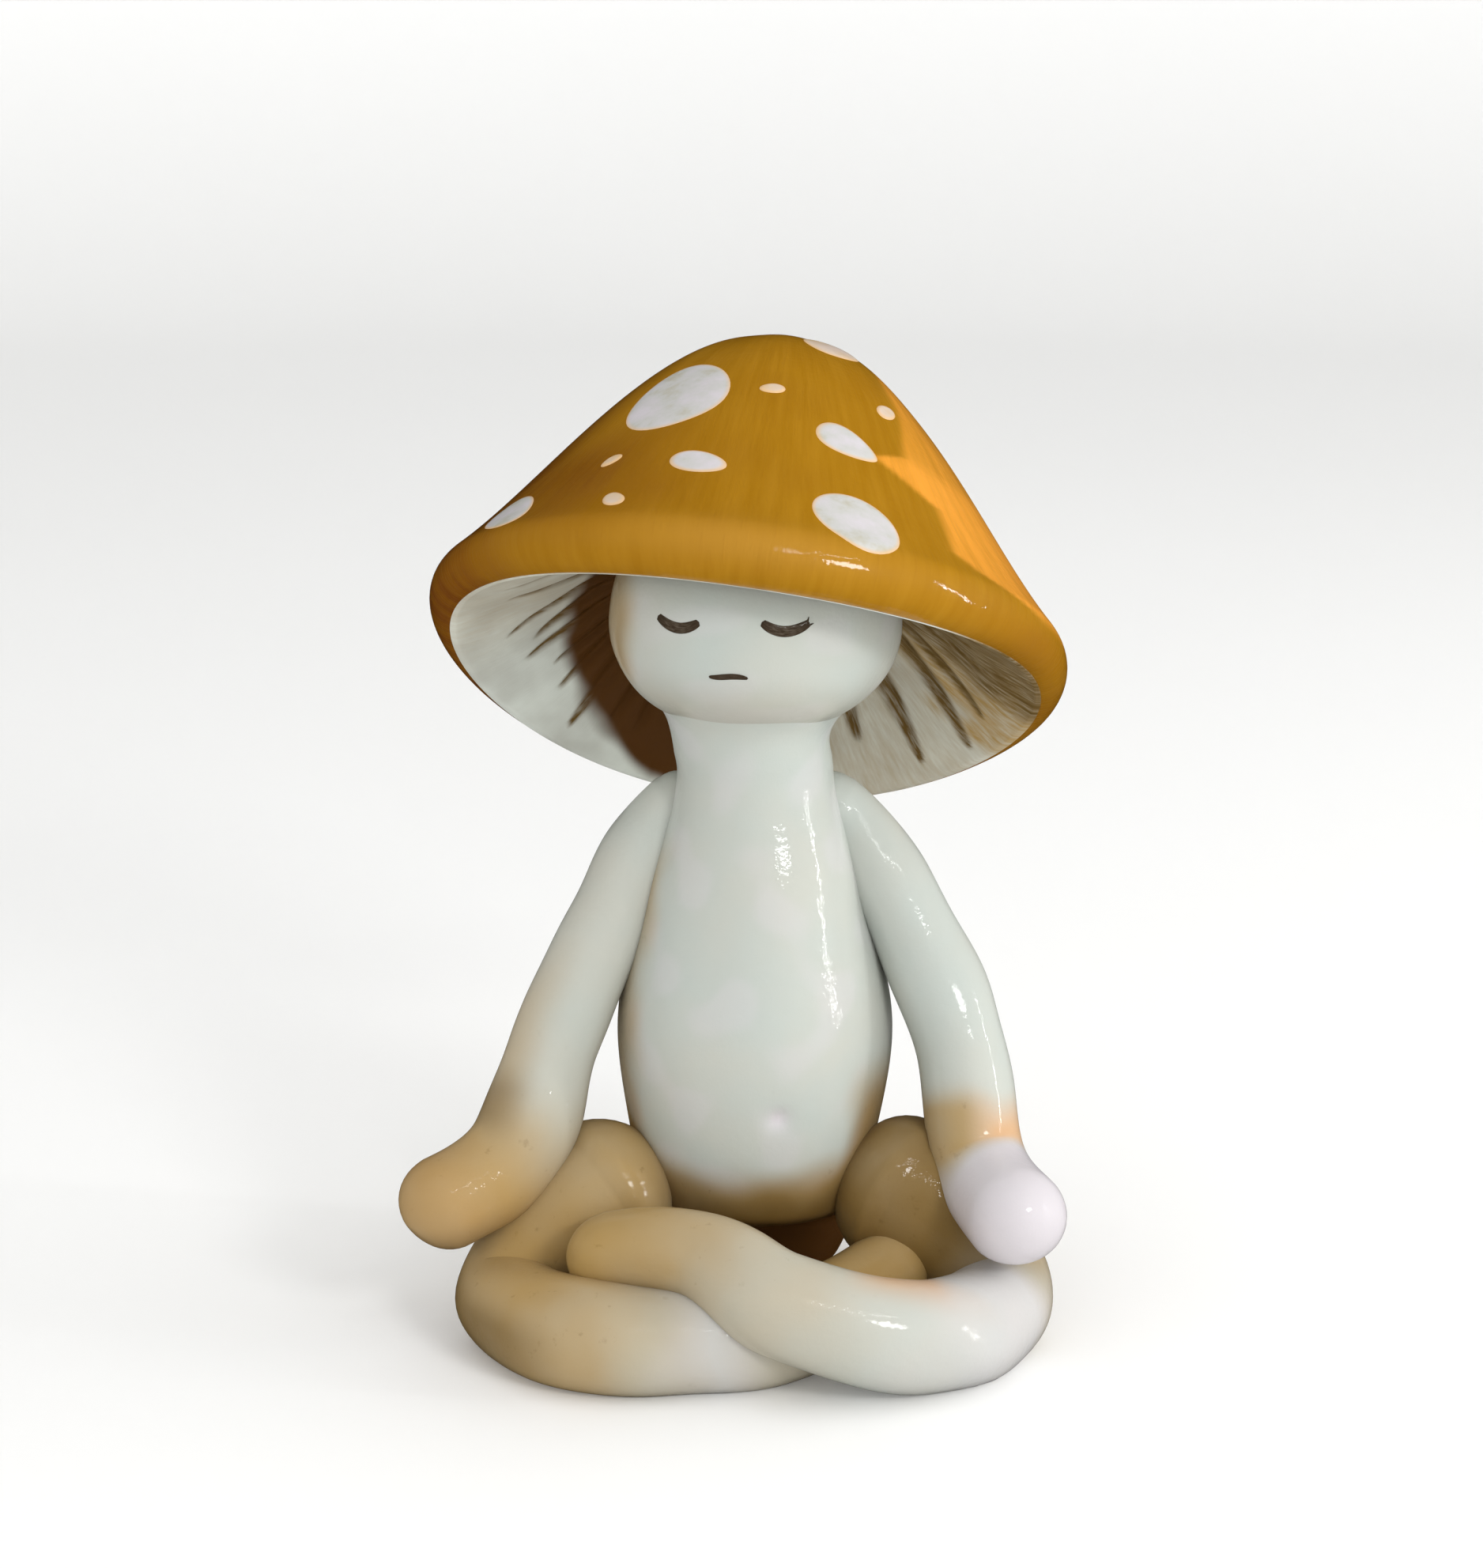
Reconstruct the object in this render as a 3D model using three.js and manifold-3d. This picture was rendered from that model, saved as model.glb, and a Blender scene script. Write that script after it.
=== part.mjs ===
// A hand-made clay mushroom figure that sits cross-legged under a tilted, spotted cap.
// Millimetres and degrees. +Z is up and the figure faces -Y. Left and right are its own: its left is +X.
import * as THREE from "three";
import { mergeVertices } from "three/addons/utils/BufferGeometryUtils.js";
import Module from "manifold-3d";

const wasm = await Module();
wasm.setup();

// Fits
const CLEARANCE = 0.3; // gap between two pieces that are pressed together
const WORKTOP_FLAT = 0.5; // how far a coil is pressed flat where it lies on the worktop

// Torso: a bottle shape whose belly is undercut towards a smaller seat
const TORSO_HEIGHT = 63;
const SEAT_RADIUS = 8;
const SEAT_BACK = 12; // how far the front of the seat is set back under the belly
const SEAT_BULGE = 6; // how far the back of the seat bulges
const UNDERCUT_LOW = 7; // between these heights the belly's underside turns back to the seat
const UNDERCUT_HIGH = 13;
const HIP_RADIUS = 10.8;
const HIP_HEIGHT = 7.5;
const BELLY_RADIUS = 14.1;
const BELLY_HEIGHT = 29;
const CHEST_RADIUS = 11.3;
const CHEST_HEIGHT = 44.5;
const NECK_RADIUS = 7.9;
const NECK_HEIGHT = 56;
const NECK_FLARE = 1.1; // how far the neck spreads under the head
const NAVEL_RADIUS = 1.3;
const NAVEL_DEPTH = 0.5;
const NAVEL_HEIGHT = 24.4;
const NAVEL_TURN = 10;

// Head: a flattened ball pressed onto the neck
const HEAD_RADIUS = 14.7;
const HEAD_HALF_HEIGHT = 11.6;
const HEAD_SQUARENESS = 2.25;
const HEAD_SINK = 1.4;
const HEAD_TURN = -10;
const HEAD_LEAN = 2.5;

// Face: closed eyes and a short mouth, threads of dark clay pressed into the head
const EYE_SPACING = 10.5;
const EYE_WIDTH = 4.4;
const EYE_SAG = 0.85;
const EYE_RISE = 2;
const EYE_UNEVEN = 0.45; // how much lower the right eye is
const EYE_THREAD = 0.5;
const MOUTH_WIDTH = 3.8;
const MOUTH_DROP = 3.7;
const MOUTH_THREAD = 0.36;

// Cap: a bell with a rolled lip, tilted back and leaning to the figure's left
const CAP_RADIUS = 33;
const CAP_HEIGHT = 37.9;
const CAP_CROWN = 15.2;
const CAP_FLARE_IN = 9.9;
const CAP_FLARE_UP = 11.9;
const CAP_LIP_RADIUS = 3.1;
const CAP_TILT = 34.2;
const CAP_LEAN = 8.1;
const CAP_DROOP = 1.6; // how far the rim hangs at the front and back, and lifts at the sides
const CAP_BROW = 1.5; // how much further it hangs over the face
const CAP_BROW_TURN = 20;
const HEAD_FORWARD_IN_CAP = 9.1;
const HEAD_RISE_IN_CAP = 3.5;
const HOLLOW_HEIGHT = 17;
const HOLLOW_CROWN = 11;
const HOLLOW_FLARE_IN = 9.9;
const HOLLOW_FLARE_UP = 6.2;

// Gill lining: a white clay layer inside the cap, scored with radial grooves
const LINING_WALL = 2.2; // at the middle
const LINING_EDGE = 0.8; // at the rim
const GILL_COUNT = 24;
const GILL_DEPTH = 0.9;

// Spots: white clay discs let into the cap
const SPOT_SIZE = 10; // half the width of a spot whose share is 1
const SPOT_DEPTH = 0.9;
const SPOT_PROUD = 0.12;

// Legs: tapered coils, bent at the knee and crossed in front
const THIGH_RADIUS = 7.8;
const KNEE_RADIUS = 5.6;
const SHIN_RADIUS = 5;
const FOOT_RADIUS = 4;
const HIP_JOINT_HEIGHT = 16.5;
const HIP_JOINT_FORWARD = 3;
const THIGH_IN = 3.2; // how far inside the hip a thigh starts
const THIGH_OUT = 4.5; // how far out, forward and down it leads from there
const THIGH_FORWARD = 4;
const THIGH_DROP = 3.6;
const KNEE_SPREAD = 24.9;
const KNEE_FORWARD = 11;
const SHIN_FORWARD = 23.4;
const FOOT_SPREAD = 16.5;
// How far each shin and foot lies in from the knee, behind the front of the shins, and above what it lies on
const RIGHT_SHIN = {
  kneeIn: 8,
  kneeBack: 1,
  middleBack: 1.5,
  ankleBack: 7.5,
  ankleRise: 1,
  footBack: 15,
  footRise: 5.2,
};
const LEFT_SHIN = {
  kneeIn: 7.5,
  middle: 2.5,
  middleBack: -2,
  ankleBack: 3.5,
  ankleRise: 2.7,
  footBack: 6.5,
  footRise: 1.8,
  footOut: 2.2,
};

// Arms: tapered coils from the shoulders to the knees
const SHOULDER_HEIGHT = 53;
const SHOULDER_RADIUS = 3.6;
const ELBOW_RADIUS = 4.4;
const WRIST_RADIUS = 5;
const HAND_RADIUS = 5.1;
const ARM_OUT = 0.9; // how far outside the torso the upper arm starts, and behind its middle
const ARM_BACK = 2;
const ARM_DROP = 2; // how far it starts above the shoulder and leaves the torso below it
const WRIST_IN = 2; // how far the wrist lies in from the knee, and behind it
const RIGHT_ARM = {
  side: -1,
  bow: 0.9,
  wristOut: 1.9,
  wristRise: 3.1,
  handTurn: 67,
  handDip: 0.48,
  handLength: 12.6,
};
const LEFT_ARM = {
  side: 1,
  bow: 3,
  wristOut: 0,
  wristRise: 2.6,
  handTurn: 20,
  handDip: 0.25,
  handLength: 14,
};

// Armature: foil cores and wire pins
const TORSO_CORE_RADIUS = 7.5;
const TORSO_CORE_HEIGHT = 24;
const HEAD_CORE_RADIUS = 6;
const NECK_PIN_RADIUS = 1;
const LIMB_PIN_RADIUS = 0.7;
const LIMB_PIN_LENGTH = 7;
const CAP_PIN_LENGTH = 8;

// Facets
const TORSO_SIDES = 32;
const TORSO_ROWS = 25;
const HEAD_SIDES = 28;
const LIMB_SIDES = 12;
const LIMB_ROWS = 20;
const THREAD_SIDES = 6;
const THREAD_ROWS = 6;
const CAP_SIDES = 40;
const CAP_ROWS = 10;
const LINING_ROWS = 8;
const SIDES_PER_GILL = 3;
const SPOT_SIDES = 10;
const PIN_SIDES = 8;
const CORE_SIDES = 12;

const radians = THREE.MathUtils.degToRad;
const lerp = THREE.MathUtils.lerp;
const point = (x, y, z) => new THREE.Vector3(x, y, z);
const pair = (x, y) => new THREE.Vector2(x, y);

// Turns a closed geometry, moved by an optional matrix, into a solid that can be joined and cut.
function solidOf(geometry, matrix) {
  const bare = new THREE.BufferGeometry();
  bare.setAttribute("position", geometry.getAttribute("position").clone());
  bare.setIndex(geometry.index);
  if (matrix) bare.applyMatrix4(matrix);
  const merged = mergeVertices(bare, 1e-4);
  const corners = merged.index.array;
  const triVerts = [];
  for (let i = 0; i < corners.length; i += 3) {
    const [a, b, c] = corners.slice(i, i + 3);
    if (a !== b && b !== c && c !== a) triVerts.push(a, b, c);
  }
  return new wasm.Manifold(
    new wasm.Mesh({
      numProp: 3,
      vertProperties: merged.attributes.position.array,
      triVerts: new Uint32Array(triVerts),
    }),
  );
}

// Turns a solid back into a geometry.
function geometryOf(solid) {
  const mesh = solid.getMesh();
  const geometry = new THREE.BufferGeometry();
  geometry.setAttribute("position", new THREE.BufferAttribute(mesh.vertProperties, 3));
  geometry.setIndex(new THREE.BufferAttribute(mesh.triVerts, 1));
  geometry.computeVertexNormals();
  return geometry;
}

// Cuts solids away and keeps the largest body that is left.
function cut(solid, ...tools) {
  const left = tools.reduce((kept, tool) => kept.subtract(tool), solid);
  return left.decompose().reduce((best, body) => (body.volume() > best.volume() ? body : best));
}

// A radius along a coil, eased between radii that are spread evenly over its length.
function taper(...radii) {
  return (share) => {
    const place = share * (radii.length - 1);
    const step = Math.min(Math.floor(place), radii.length - 2);
    return lerp(radii[step], radii[step + 1], THREE.MathUtils.smoothstep(place - step, 0, 1));
  };
}

// Rolls a straight, round-ended coil of clay on the lathe and bends it along its points.
function coilGeometry({ points, radiusAt, sides, rows }, grow = 0) {
  const path = new THREE.CatmullRomCurve3(points);
  const length = path.getLength();
  const startRadius = radiusAt(0);
  const endRadius = radiusAt(1);
  const tipRows = Math.round(sides / 4);
  const profile = [];
  for (let row = 0; row < tipRows; row++) {
    const turn = (row / tipRows) * (Math.PI / 2);
    const reach = (startRadius + grow) * (1 - Math.cos(turn)) - grow;
    profile.push(pair((startRadius + grow) * Math.sin(turn), reach));
  }
  for (let row = 0; row <= rows; row++) {
    const along = lerp(startRadius, length - endRadius, row / rows);
    profile.push(pair(radiusAt(along / length) + grow, along));
  }
  for (let row = tipRows - 1; row >= 0; row--) {
    const turn = (row / tipRows) * (Math.PI / 2);
    const reach = length + grow - (endRadius + grow) * (1 - Math.cos(turn));
    profile.push(pair((endRadius + grow) * Math.sin(turn), reach));
  }
  const geometry = new THREE.LatheGeometry(profile, sides);
  const steps = rows * 8;
  const frames = path.computeFrenetFrames(steps);
  const position = geometry.getAttribute("position");
  for (let i = 0; i < position.count; i++) {
    const along = profile[i % profile.length].y;
    const share = THREE.MathUtils.clamp(along / length, 0, 1);
    const step = Math.round(share * steps);
    const place = path
      .getPointAt(share)
      .addScaledVector(frames.tangents[step], along - share * length)
      .addScaledVector(frames.binormals[step], position.getX(i))
      .addScaledVector(frames.normals[step], position.getZ(i));
    position.setXYZ(i, place.x, place.y, place.z);
  }
  return geometry;
}

// A straight round rod between two points.
function rodGeometry(from, to, radius) {
  const along = to.clone().sub(from);
  const turn = new THREE.Quaternion().setFromUnitVectors(point(0, 1, 0), along.clone().normalize());
  const middle = from.clone().lerp(to, 0.5);
  return new THREE.CylinderGeometry(radius, radius, along.length(), PIN_SIDES)
    .applyQuaternion(turn)
    .translate(middle.x, middle.y, middle.z);
}

// A wire pin about a middle point, along a direction.
function pinGeometry({ middle, along, length, radius }, grow = 0) {
  const half = along.clone().setLength(length / 2 + grow);
  return rodGeometry(middle.clone().sub(half), middle.clone().add(half), radius + grow);
}

// A lathe profile turned about the vertical axis.
function turned(profile, sides) {
  return new THREE.LatheGeometry(profile, sides).rotateX(Math.PI / 2);
}

// An egg about a middle point.
function coreGeometry(middle, radius, halfHeight) {
  return new THREE.SphereGeometry(1, CORE_SIDES, CORE_SIDES / 2)
    .rotateX(Math.PI / 2)
    .scale(radius, radius, halfHeight)
    .translate(middle.x, middle.y, middle.z);
}

// Torso
const torsoOutline = new THREE.SplineCurve([
  pair(SEAT_RADIUS, 0),
  pair(HIP_RADIUS, HIP_HEIGHT),
  pair(BELLY_RADIUS, BELLY_HEIGHT),
  pair(CHEST_RADIUS, CHEST_HEIGHT),
  pair(NECK_RADIUS, NECK_HEIGHT),
  pair(NECK_RADIUS + NECK_FLARE, TORSO_HEIGHT),
]).getPoints(TORSO_ROWS);

function torsoRadiusAt(height) {
  const above = Math.max(1, torsoOutline.findIndex((place) => place.y >= height));
  const [low, high] = [torsoOutline[above - 1], torsoOutline[above]];
  return lerp(low.x, high.x, (height - low.y) / (high.y - low.y));
}

// How far back a point of the torso is moved, by how much it faces the front and by its height.
function torsoBack(facing, height) {
  const under = SEAT_BACK * (1 - THREE.MathUtils.smoothstep(height, UNDERCUT_LOW, UNDERCUT_HIGH));
  const behind = SEAT_BULGE * (1 - THREE.MathUtils.smoothstep(height, 0, BELLY_HEIGHT));
  return lerp(behind, under, facing);
}

function torsoGeometry(grow = 0) {
  const profile = torsoOutline.map((place) => pair(place.x + grow, place.y));
  profile[0].y -= grow;
  profile.at(-1).y += grow;
  profile.unshift(pair(0, profile[0].y));
  profile.push(pair(0, profile.at(-1).y));
  const geometry = turned(profile, TORSO_SIDES);
  const position = geometry.getAttribute("position");
  for (let i = 0; i < position.count; i++) {
    const [x, y, z] = [position.getX(i), position.getY(i), position.getZ(i)];
    const facing = (1 - y / Math.max(Math.hypot(x, y), 1e-6)) / 2;
    position.setY(i, y + torsoBack(facing, z));
  }
  return geometry;
}

const navelMiddle = point(0, NAVEL_DEPTH - NAVEL_RADIUS - torsoRadiusAt(NAVEL_HEIGHT), NAVEL_HEIGHT);
navelMiddle.applyAxisAngle(point(0, 0, 1), radians(NAVEL_TURN));

// Head, in a frame at its own middle
const headMatrix = new THREE.Matrix4()
  .makeRotationFromEuler(new THREE.Euler(0, radians(HEAD_LEAN), radians(HEAD_TURN), "YZX"))
  .setPosition(0, 0, TORSO_HEIGHT + HEAD_HALF_HEIGHT - HEAD_SINK);
const headMiddle = point(0, 0, 0).setFromMatrixPosition(headMatrix);
const figureToHead = headMatrix.clone().invert();

function headGeometry(grow = 0) {
  const profile = [];
  const rows = HEAD_SIDES / 2;
  for (let row = 0; row <= rows; row++) {
    const turn = (row / rows - 0.5) * Math.PI;
    const across = Math.abs(Math.cos(turn)) ** (2 / HEAD_SQUARENESS);
    const up = Math.sign(turn) * Math.abs(Math.sin(turn)) ** (2 / HEAD_SQUARENESS);
    const onAxis = row === 0 || row === rows;
    profile.push(pair(onAxis ? 0 : (HEAD_RADIUS + grow) * across, (HEAD_HALF_HEIGHT + grow) * up));
  }
  return turned(profile, HEAD_SIDES);
}

// The point of the face at a width and a height, on the head's surface.
function facePoint(across, up) {
  const rim = (1 - Math.abs(up / HEAD_HALF_HEIGHT) ** HEAD_SQUARENESS) ** (1 / HEAD_SQUARENESS);
  return point(across, -Math.sqrt((HEAD_RADIUS * rim) ** 2 - across ** 2), up);
}

// A thread that sags between its two ends on the face, fine at the ends and thick in the middle.
function faceThread(middle, up, width, sag, radius) {
  const points = [-1, -0.5, 0, 0.5, 1].map((share) =>
    facePoint(middle + (share * width) / 2, up - sag * (1 - share ** 2)),
  );
  const radiusAt = taper(radius / 2, radius, radius / 2);
  return { points, radiusAt, sides: THREAD_SIDES, rows: THREAD_ROWS };
}

const faceThreads = {
  right_eye: faceThread(-EYE_SPACING / 2, EYE_RISE - EYE_UNEVEN, EYE_WIDTH, EYE_SAG, EYE_THREAD),
  left_eye: faceThread(EYE_SPACING / 2, EYE_RISE, EYE_WIDTH, EYE_SAG, EYE_THREAD),
  mouth: faceThread(0, -MOUTH_DROP, MOUTH_WIDTH, 0, MOUTH_THREAD),
};

// Cap, in a frame at the middle of its rim
const capTurn = new THREE.Matrix4().makeRotationFromEuler(
  new THREE.Euler(radians(-CAP_TILT), radians(CAP_LEAN), 0, "YXZ"),
);
const headInCap = point(0, -HEAD_FORWARD_IN_CAP, HEAD_RISE_IN_CAP);
const capPlace = headMiddle.clone().sub(headInCap.clone().applyMatrix4(capTurn));
const capMatrix = capTurn.clone().setPosition(capPlace);
const figureToCap = capMatrix.clone().invert();
const headToCap = figureToCap.clone().multiply(headMatrix);
const capAxis = point(0, 0, 1).applyMatrix4(capTurn);

// A bell outline from its rim up to its crown.
function bell(rim, base, crown, top) {
  return new THREE.CubicBezierCurve(
    pair(rim, base),
    pair(rim - CAP_FLARE_IN, base + CAP_FLARE_UP),
    pair(crown, top),
    pair(0, top),
  );
}

// The rolled lip, as an arc between two angles.
const lipMiddle = CAP_RADIUS - CAP_LIP_RADIUS;
const flareAngle = Math.atan2(CAP_FLARE_IN, CAP_FLARE_UP);
function lipArc(from, to) {
  return new THREE.EllipseCurve(
    lipMiddle,
    CAP_LIP_RADIUS,
    CAP_LIP_RADIUS,
    CAP_LIP_RADIUS,
    from,
    to,
  );
}

// The cap's side, from the bottom of the lip up to the crown.
const capBell = bell(
  lipMiddle + CAP_LIP_RADIUS * Math.cos(flareAngle),
  CAP_LIP_RADIUS + CAP_LIP_RADIUS * Math.sin(flareAngle),
  CAP_CROWN,
  CAP_HEIGHT,
);
const capSide = new THREE.CurvePath();
capSide.add(lipArc(-Math.PI / 2, flareAngle));
capSide.add(capBell);

// The shallow underside from the bottom of the lip to its middle, set in at the rim and dropped at the middle.
function underside(setIn, drop) {
  const rim = lipMiddle - setIn;
  return new THREE.CubicBezierCurve(
    pair(rim, 0),
    pair(rim - HOLLOW_FLARE_IN, HOLLOW_FLARE_UP - drop / 2),
    pair(HOLLOW_CROWN, HOLLOW_HEIGHT - drop),
    pair(0, HOLLOW_HEIGHT - drop),
  );
}

// Lets the rim hang at the front and back, and most over the face, less and less towards the crown.
function drooped(geometry) {
  const position = geometry.getAttribute("position");
  for (let i = 0; i < position.count; i++) {
    const [x, y, z] = [position.getX(i), position.getY(i), position.getZ(i)];
    const fade = THREE.MathUtils.clamp(1 - z / CAP_HEIGHT, 0, 1) ** 2;
    const turn = Math.atan2(x, -y);
    const brow = ((1 + Math.cos(turn - radians(CAP_BROW_TURN))) / 2) ** 2;
    position.setZ(i, z - fade * (CAP_DROOP * Math.cos(2 * turn) + CAP_BROW * brow));
  }
  return geometry;
}

function capShellGeometry() {
  const inside = underside(0, 0).getPoints(LINING_ROWS).reverse();
  const lip = lipArc(-Math.PI / 2, flareAngle).getPoints(6).slice(1, -1);
  const outside = capBell.getPoints(CAP_ROWS);
  return drooped(turned([...inside, ...lip, ...outside], CAP_SIDES));
}

// The lining, whose inner face is scored with gills.
function liningGeometry() {
  const gap = 2 * CLEARANCE; // along the rim, where the two faces slope
  const gillFace = underside(gap + LINING_EDGE, CLEARANCE + LINING_WALL).getPoints(LINING_ROWS).reverse();
  const backFace = underside(gap, CLEARANCE).getPoints(LINING_ROWS);
  const profile = [...gillFace, ...backFace];
  const geometry = turned(profile, GILL_COUNT * SIDES_PER_GILL);
  const position = geometry.getAttribute("position");
  for (let i = 0; i < position.count; i++) {
    const row = i % profile.length;
    const side = Math.floor(i / profile.length);
    const radius = profile[row].x;
    if (row >= gillFace.length || side % SIDES_PER_GILL !== 0 || radius === 0) continue;
    const fade = Math.sin((Math.PI * row) / (gillFace.length - 1));
    position.setZ(i, position.getZ(i) + GILL_DEPTH * fade);
  }
  return drooped(geometry);
}

// Spots: turn round the cap from its front, share of the way up its side, shares of the spot size and tilt.
// The last nine are on the back and sides.
const SPOTS = [
  { turn: -32, up: 0.52, across: 0.54, along: 0.68, tilt: 15 },
  { turn: -4, up: 0.54, across: 0.13, along: 0.09, tilt: 20 },
  { turn: 24, up: 0.79, across: 0.3, along: 0.32, tilt: 0 },
  { turn: 32, up: 0.55, across: 0.16, along: 0.1, tilt: 50 },
  { turn: 16, up: 0.41, across: 0.36, along: 0.21, tilt: -35 },
  { turn: -17, up: 0.29, across: 0.3, along: 0.17, tilt: -13 },
  { turn: -38, up: 0.31, across: 0.12, along: 0.08, tilt: 40 },
  { turn: -30, up: 0.17, across: 0.14, along: 0.11, tilt: -40 },
  { turn: -57, up: 0.18, across: 0.4, along: 0.3, tilt: -30 },
  { turn: 15, up: 0.18, across: 0.48, along: 0.38, tilt: -30 },
  { turn: 84, up: 0.42, across: 0.46, along: 0.38, tilt: 10 },
  { turn: 104, up: 0.7, across: 0.22, along: 0.18, tilt: 0 },
  { turn: 118, up: 0.24, across: 0.26, along: 0.2, tilt: -15 },
  { turn: 146, up: 0.5, across: 0.5, along: 0.42, tilt: 20 },
  { turn: 176, up: 0.27, across: 0.17, along: 0.13, tilt: 0 },
  { turn: 196, up: 0.66, across: 0.24, along: 0.2, tilt: 0 },
  { turn: 214, up: 0.36, across: 0.42, along: 0.33, tilt: -20 },
  { turn: 244, up: 0.6, across: 0.3, along: 0.25, tilt: 0 },
  { turn: 264, up: 0.28, across: 0.16, along: 0.12, tilt: 15 },
];
const capSideLength = capSide.getLength();

// A disc that follows the cap's surface, between two heights above it.
function spotGeometry(spot, low, high, grow = 0) {
  const middleRadius = capSide.getPoint(spot.up).x;
  const surface = (across, along, height) => {
    const share = spot.up + along / capSideLength;
    const place = capSide.getPoint(share);
    const slope = capSide.getTangent(share);
    const radius = place.x + slope.y * height;
    const turn = radians(spot.turn) + across / middleRadius;
    return [radius * Math.sin(turn), -radius * Math.cos(turn), place.y - slope.x * height];
  };
  const tilt = radians(spot.tilt);
  const vertices = [surface(0, 0, high), surface(0, 0, low)];
  const rings = [
    { share: 0.6, height: high },
    { share: 1, height: high },
    { share: 1, height: low },
  ];
  for (const { share, height } of rings) {
    for (let side = 0; side < SPOT_SIDES; side++) {
      const angle = (side / SPOT_SIDES) * 2 * Math.PI;
      const x = share * (spot.across * SPOT_SIZE + grow) * Math.cos(angle);
      const y = share * (spot.along * SPOT_SIZE + grow) * Math.sin(angle);
      const across = x * Math.cos(tilt) - y * Math.sin(tilt);
      const along = x * Math.sin(tilt) + y * Math.cos(tilt);
      vertices.push(surface(across, along, height));
    }
  }
  const corner = (ring, side) => 2 + ring * SPOT_SIDES + (side % SPOT_SIDES);
  const faces = [];
  for (let side = 0; side < SPOT_SIDES; side++) {
    faces.push(0, corner(0, side), corner(0, side + 1));
    faces.push(1, corner(2, side + 1), corner(2, side));
    for (let ring = 0; ring < rings.length - 1; ring++) {
      faces.push(corner(ring, side), corner(ring + 1, side), corner(ring + 1, side + 1));
      faces.push(corner(ring, side), corner(ring + 1, side + 1), corner(ring, side + 1));
    }
  }
  const geometry = new THREE.BufferGeometry();
  geometry.setAttribute("position", new THREE.Float32BufferAttribute(vertices.flat(), 3));
  geometry.setIndex(faces);
  return drooped(geometry);
}

// Legs. Each leaves the torso at the hip, bends at the knee and lies across the front.
const lying = (radius) => radius - WORKTOP_FLAT;
const crossing = lying(SHIN_RADIUS) + SHIN_RADIUS;
function legOf(side, lower) {
  const hip = torsoRadiusAt(HIP_JOINT_HEIGHT);
  const points = [
    point(side * (hip - THIGH_IN), -HIP_JOINT_FORWARD, HIP_JOINT_HEIGHT),
    point(side * (hip + THIGH_OUT), -HIP_JOINT_FORWARD - THIGH_FORWARD, HIP_JOINT_HEIGHT - THIGH_DROP),
    point(side * KNEE_SPREAD, -KNEE_FORWARD, lying(KNEE_RADIUS)),
    ...lower,
  ];
  const radiusAt = taper(THIGH_RADIUS, KNEE_RADIUS, KNEE_RADIUS, SHIN_RADIUS, FOOT_RADIUS);
  return { points, radiusAt, sides: LIMB_SIDES, rows: LIMB_ROWS };
}
// The right leg lies on the worktop, and its foot tucks in under the left knee.
const rightLeg = legOf(-1, [
  point(RIGHT_SHIN.kneeIn - KNEE_SPREAD, RIGHT_SHIN.kneeBack - SHIN_FORWARD, lying(KNEE_RADIUS)),
  point(0, RIGHT_SHIN.middleBack - SHIN_FORWARD, lying(SHIN_RADIUS)),
  point(FOOT_SPREAD / 2, RIGHT_SHIN.ankleBack - SHIN_FORWARD, lying(SHIN_RADIUS) + RIGHT_SHIN.ankleRise),
  point(FOOT_SPREAD, RIGHT_SHIN.footBack - SHIN_FORWARD, lying(FOOT_RADIUS) + RIGHT_SHIN.footRise),
]);
// The left leg crosses over the right shin.
const leftLeg = legOf(1, [
  point(KNEE_SPREAD - LEFT_SHIN.kneeIn, -SHIN_FORWARD, lying(KNEE_RADIUS)),
  point(LEFT_SHIN.middle, LEFT_SHIN.middleBack - SHIN_FORWARD, crossing),
  point(-FOOT_SPREAD / 3, LEFT_SHIN.ankleBack - SHIN_FORWARD, crossing + LEFT_SHIN.ankleRise),
  point(-FOOT_SPREAD - LEFT_SHIN.footOut, LEFT_SHIN.footBack - SHIN_FORWARD, crossing + LEFT_SHIN.footRise),
]);

// An arm from its shoulder, bowed outwards, to a hand on the knee that is turned from the front.
function armOf({ side, bow, wristOut, wristRise, handTurn, handDip, handLength }) {
  const shoulder = torsoRadiusAt(SHOULDER_HEIGHT);
  const kneeTop = lying(KNEE_RADIUS) + KNEE_RADIUS;
  const start = point(side * (shoulder + ARM_OUT), ARM_BACK, SHOULDER_HEIGHT - ARM_DROP);
  const wristHeight = kneeTop + WRIST_RADIUS + wristRise;
  const wrist = point(side * (KNEE_SPREAD - WRIST_IN + wristOut), WRIST_IN - KNEE_FORWARD, wristHeight);
  const heading = radians(handTurn);
  const away = point(side * Math.sin(heading), -Math.cos(heading), -handDip).normalize();
  const points = [point(side * (shoulder - SHOULDER_RADIUS), ARM_BACK, SHOULDER_HEIGHT + ARM_DROP)];
  for (const share of [0, 0.3, 0.65]) {
    const out = point(side * bow * Math.sin(Math.PI * share), 0, 0);
    points.push(start.clone().lerp(wrist, share).add(out));
  }
  points.push(wrist, wrist.clone().addScaledVector(away, handLength));
  const radiusAt = taper(SHOULDER_RADIUS, ELBOW_RADIUS, ELBOW_RADIUS, WRIST_RADIUS, HAND_RADIUS);
  return { points, radiusAt, sides: LIMB_SIDES, rows: LIMB_ROWS };
}
const rightArm = armOf(RIGHT_ARM);
const leftArm = armOf(LEFT_ARM);

// Worktop that flattens what lies on it
const REACH = 200;
const worktop = solidOf(new THREE.BoxGeometry(REACH, REACH, REACH).translate(0, 0, -REACH / 2));

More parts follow.
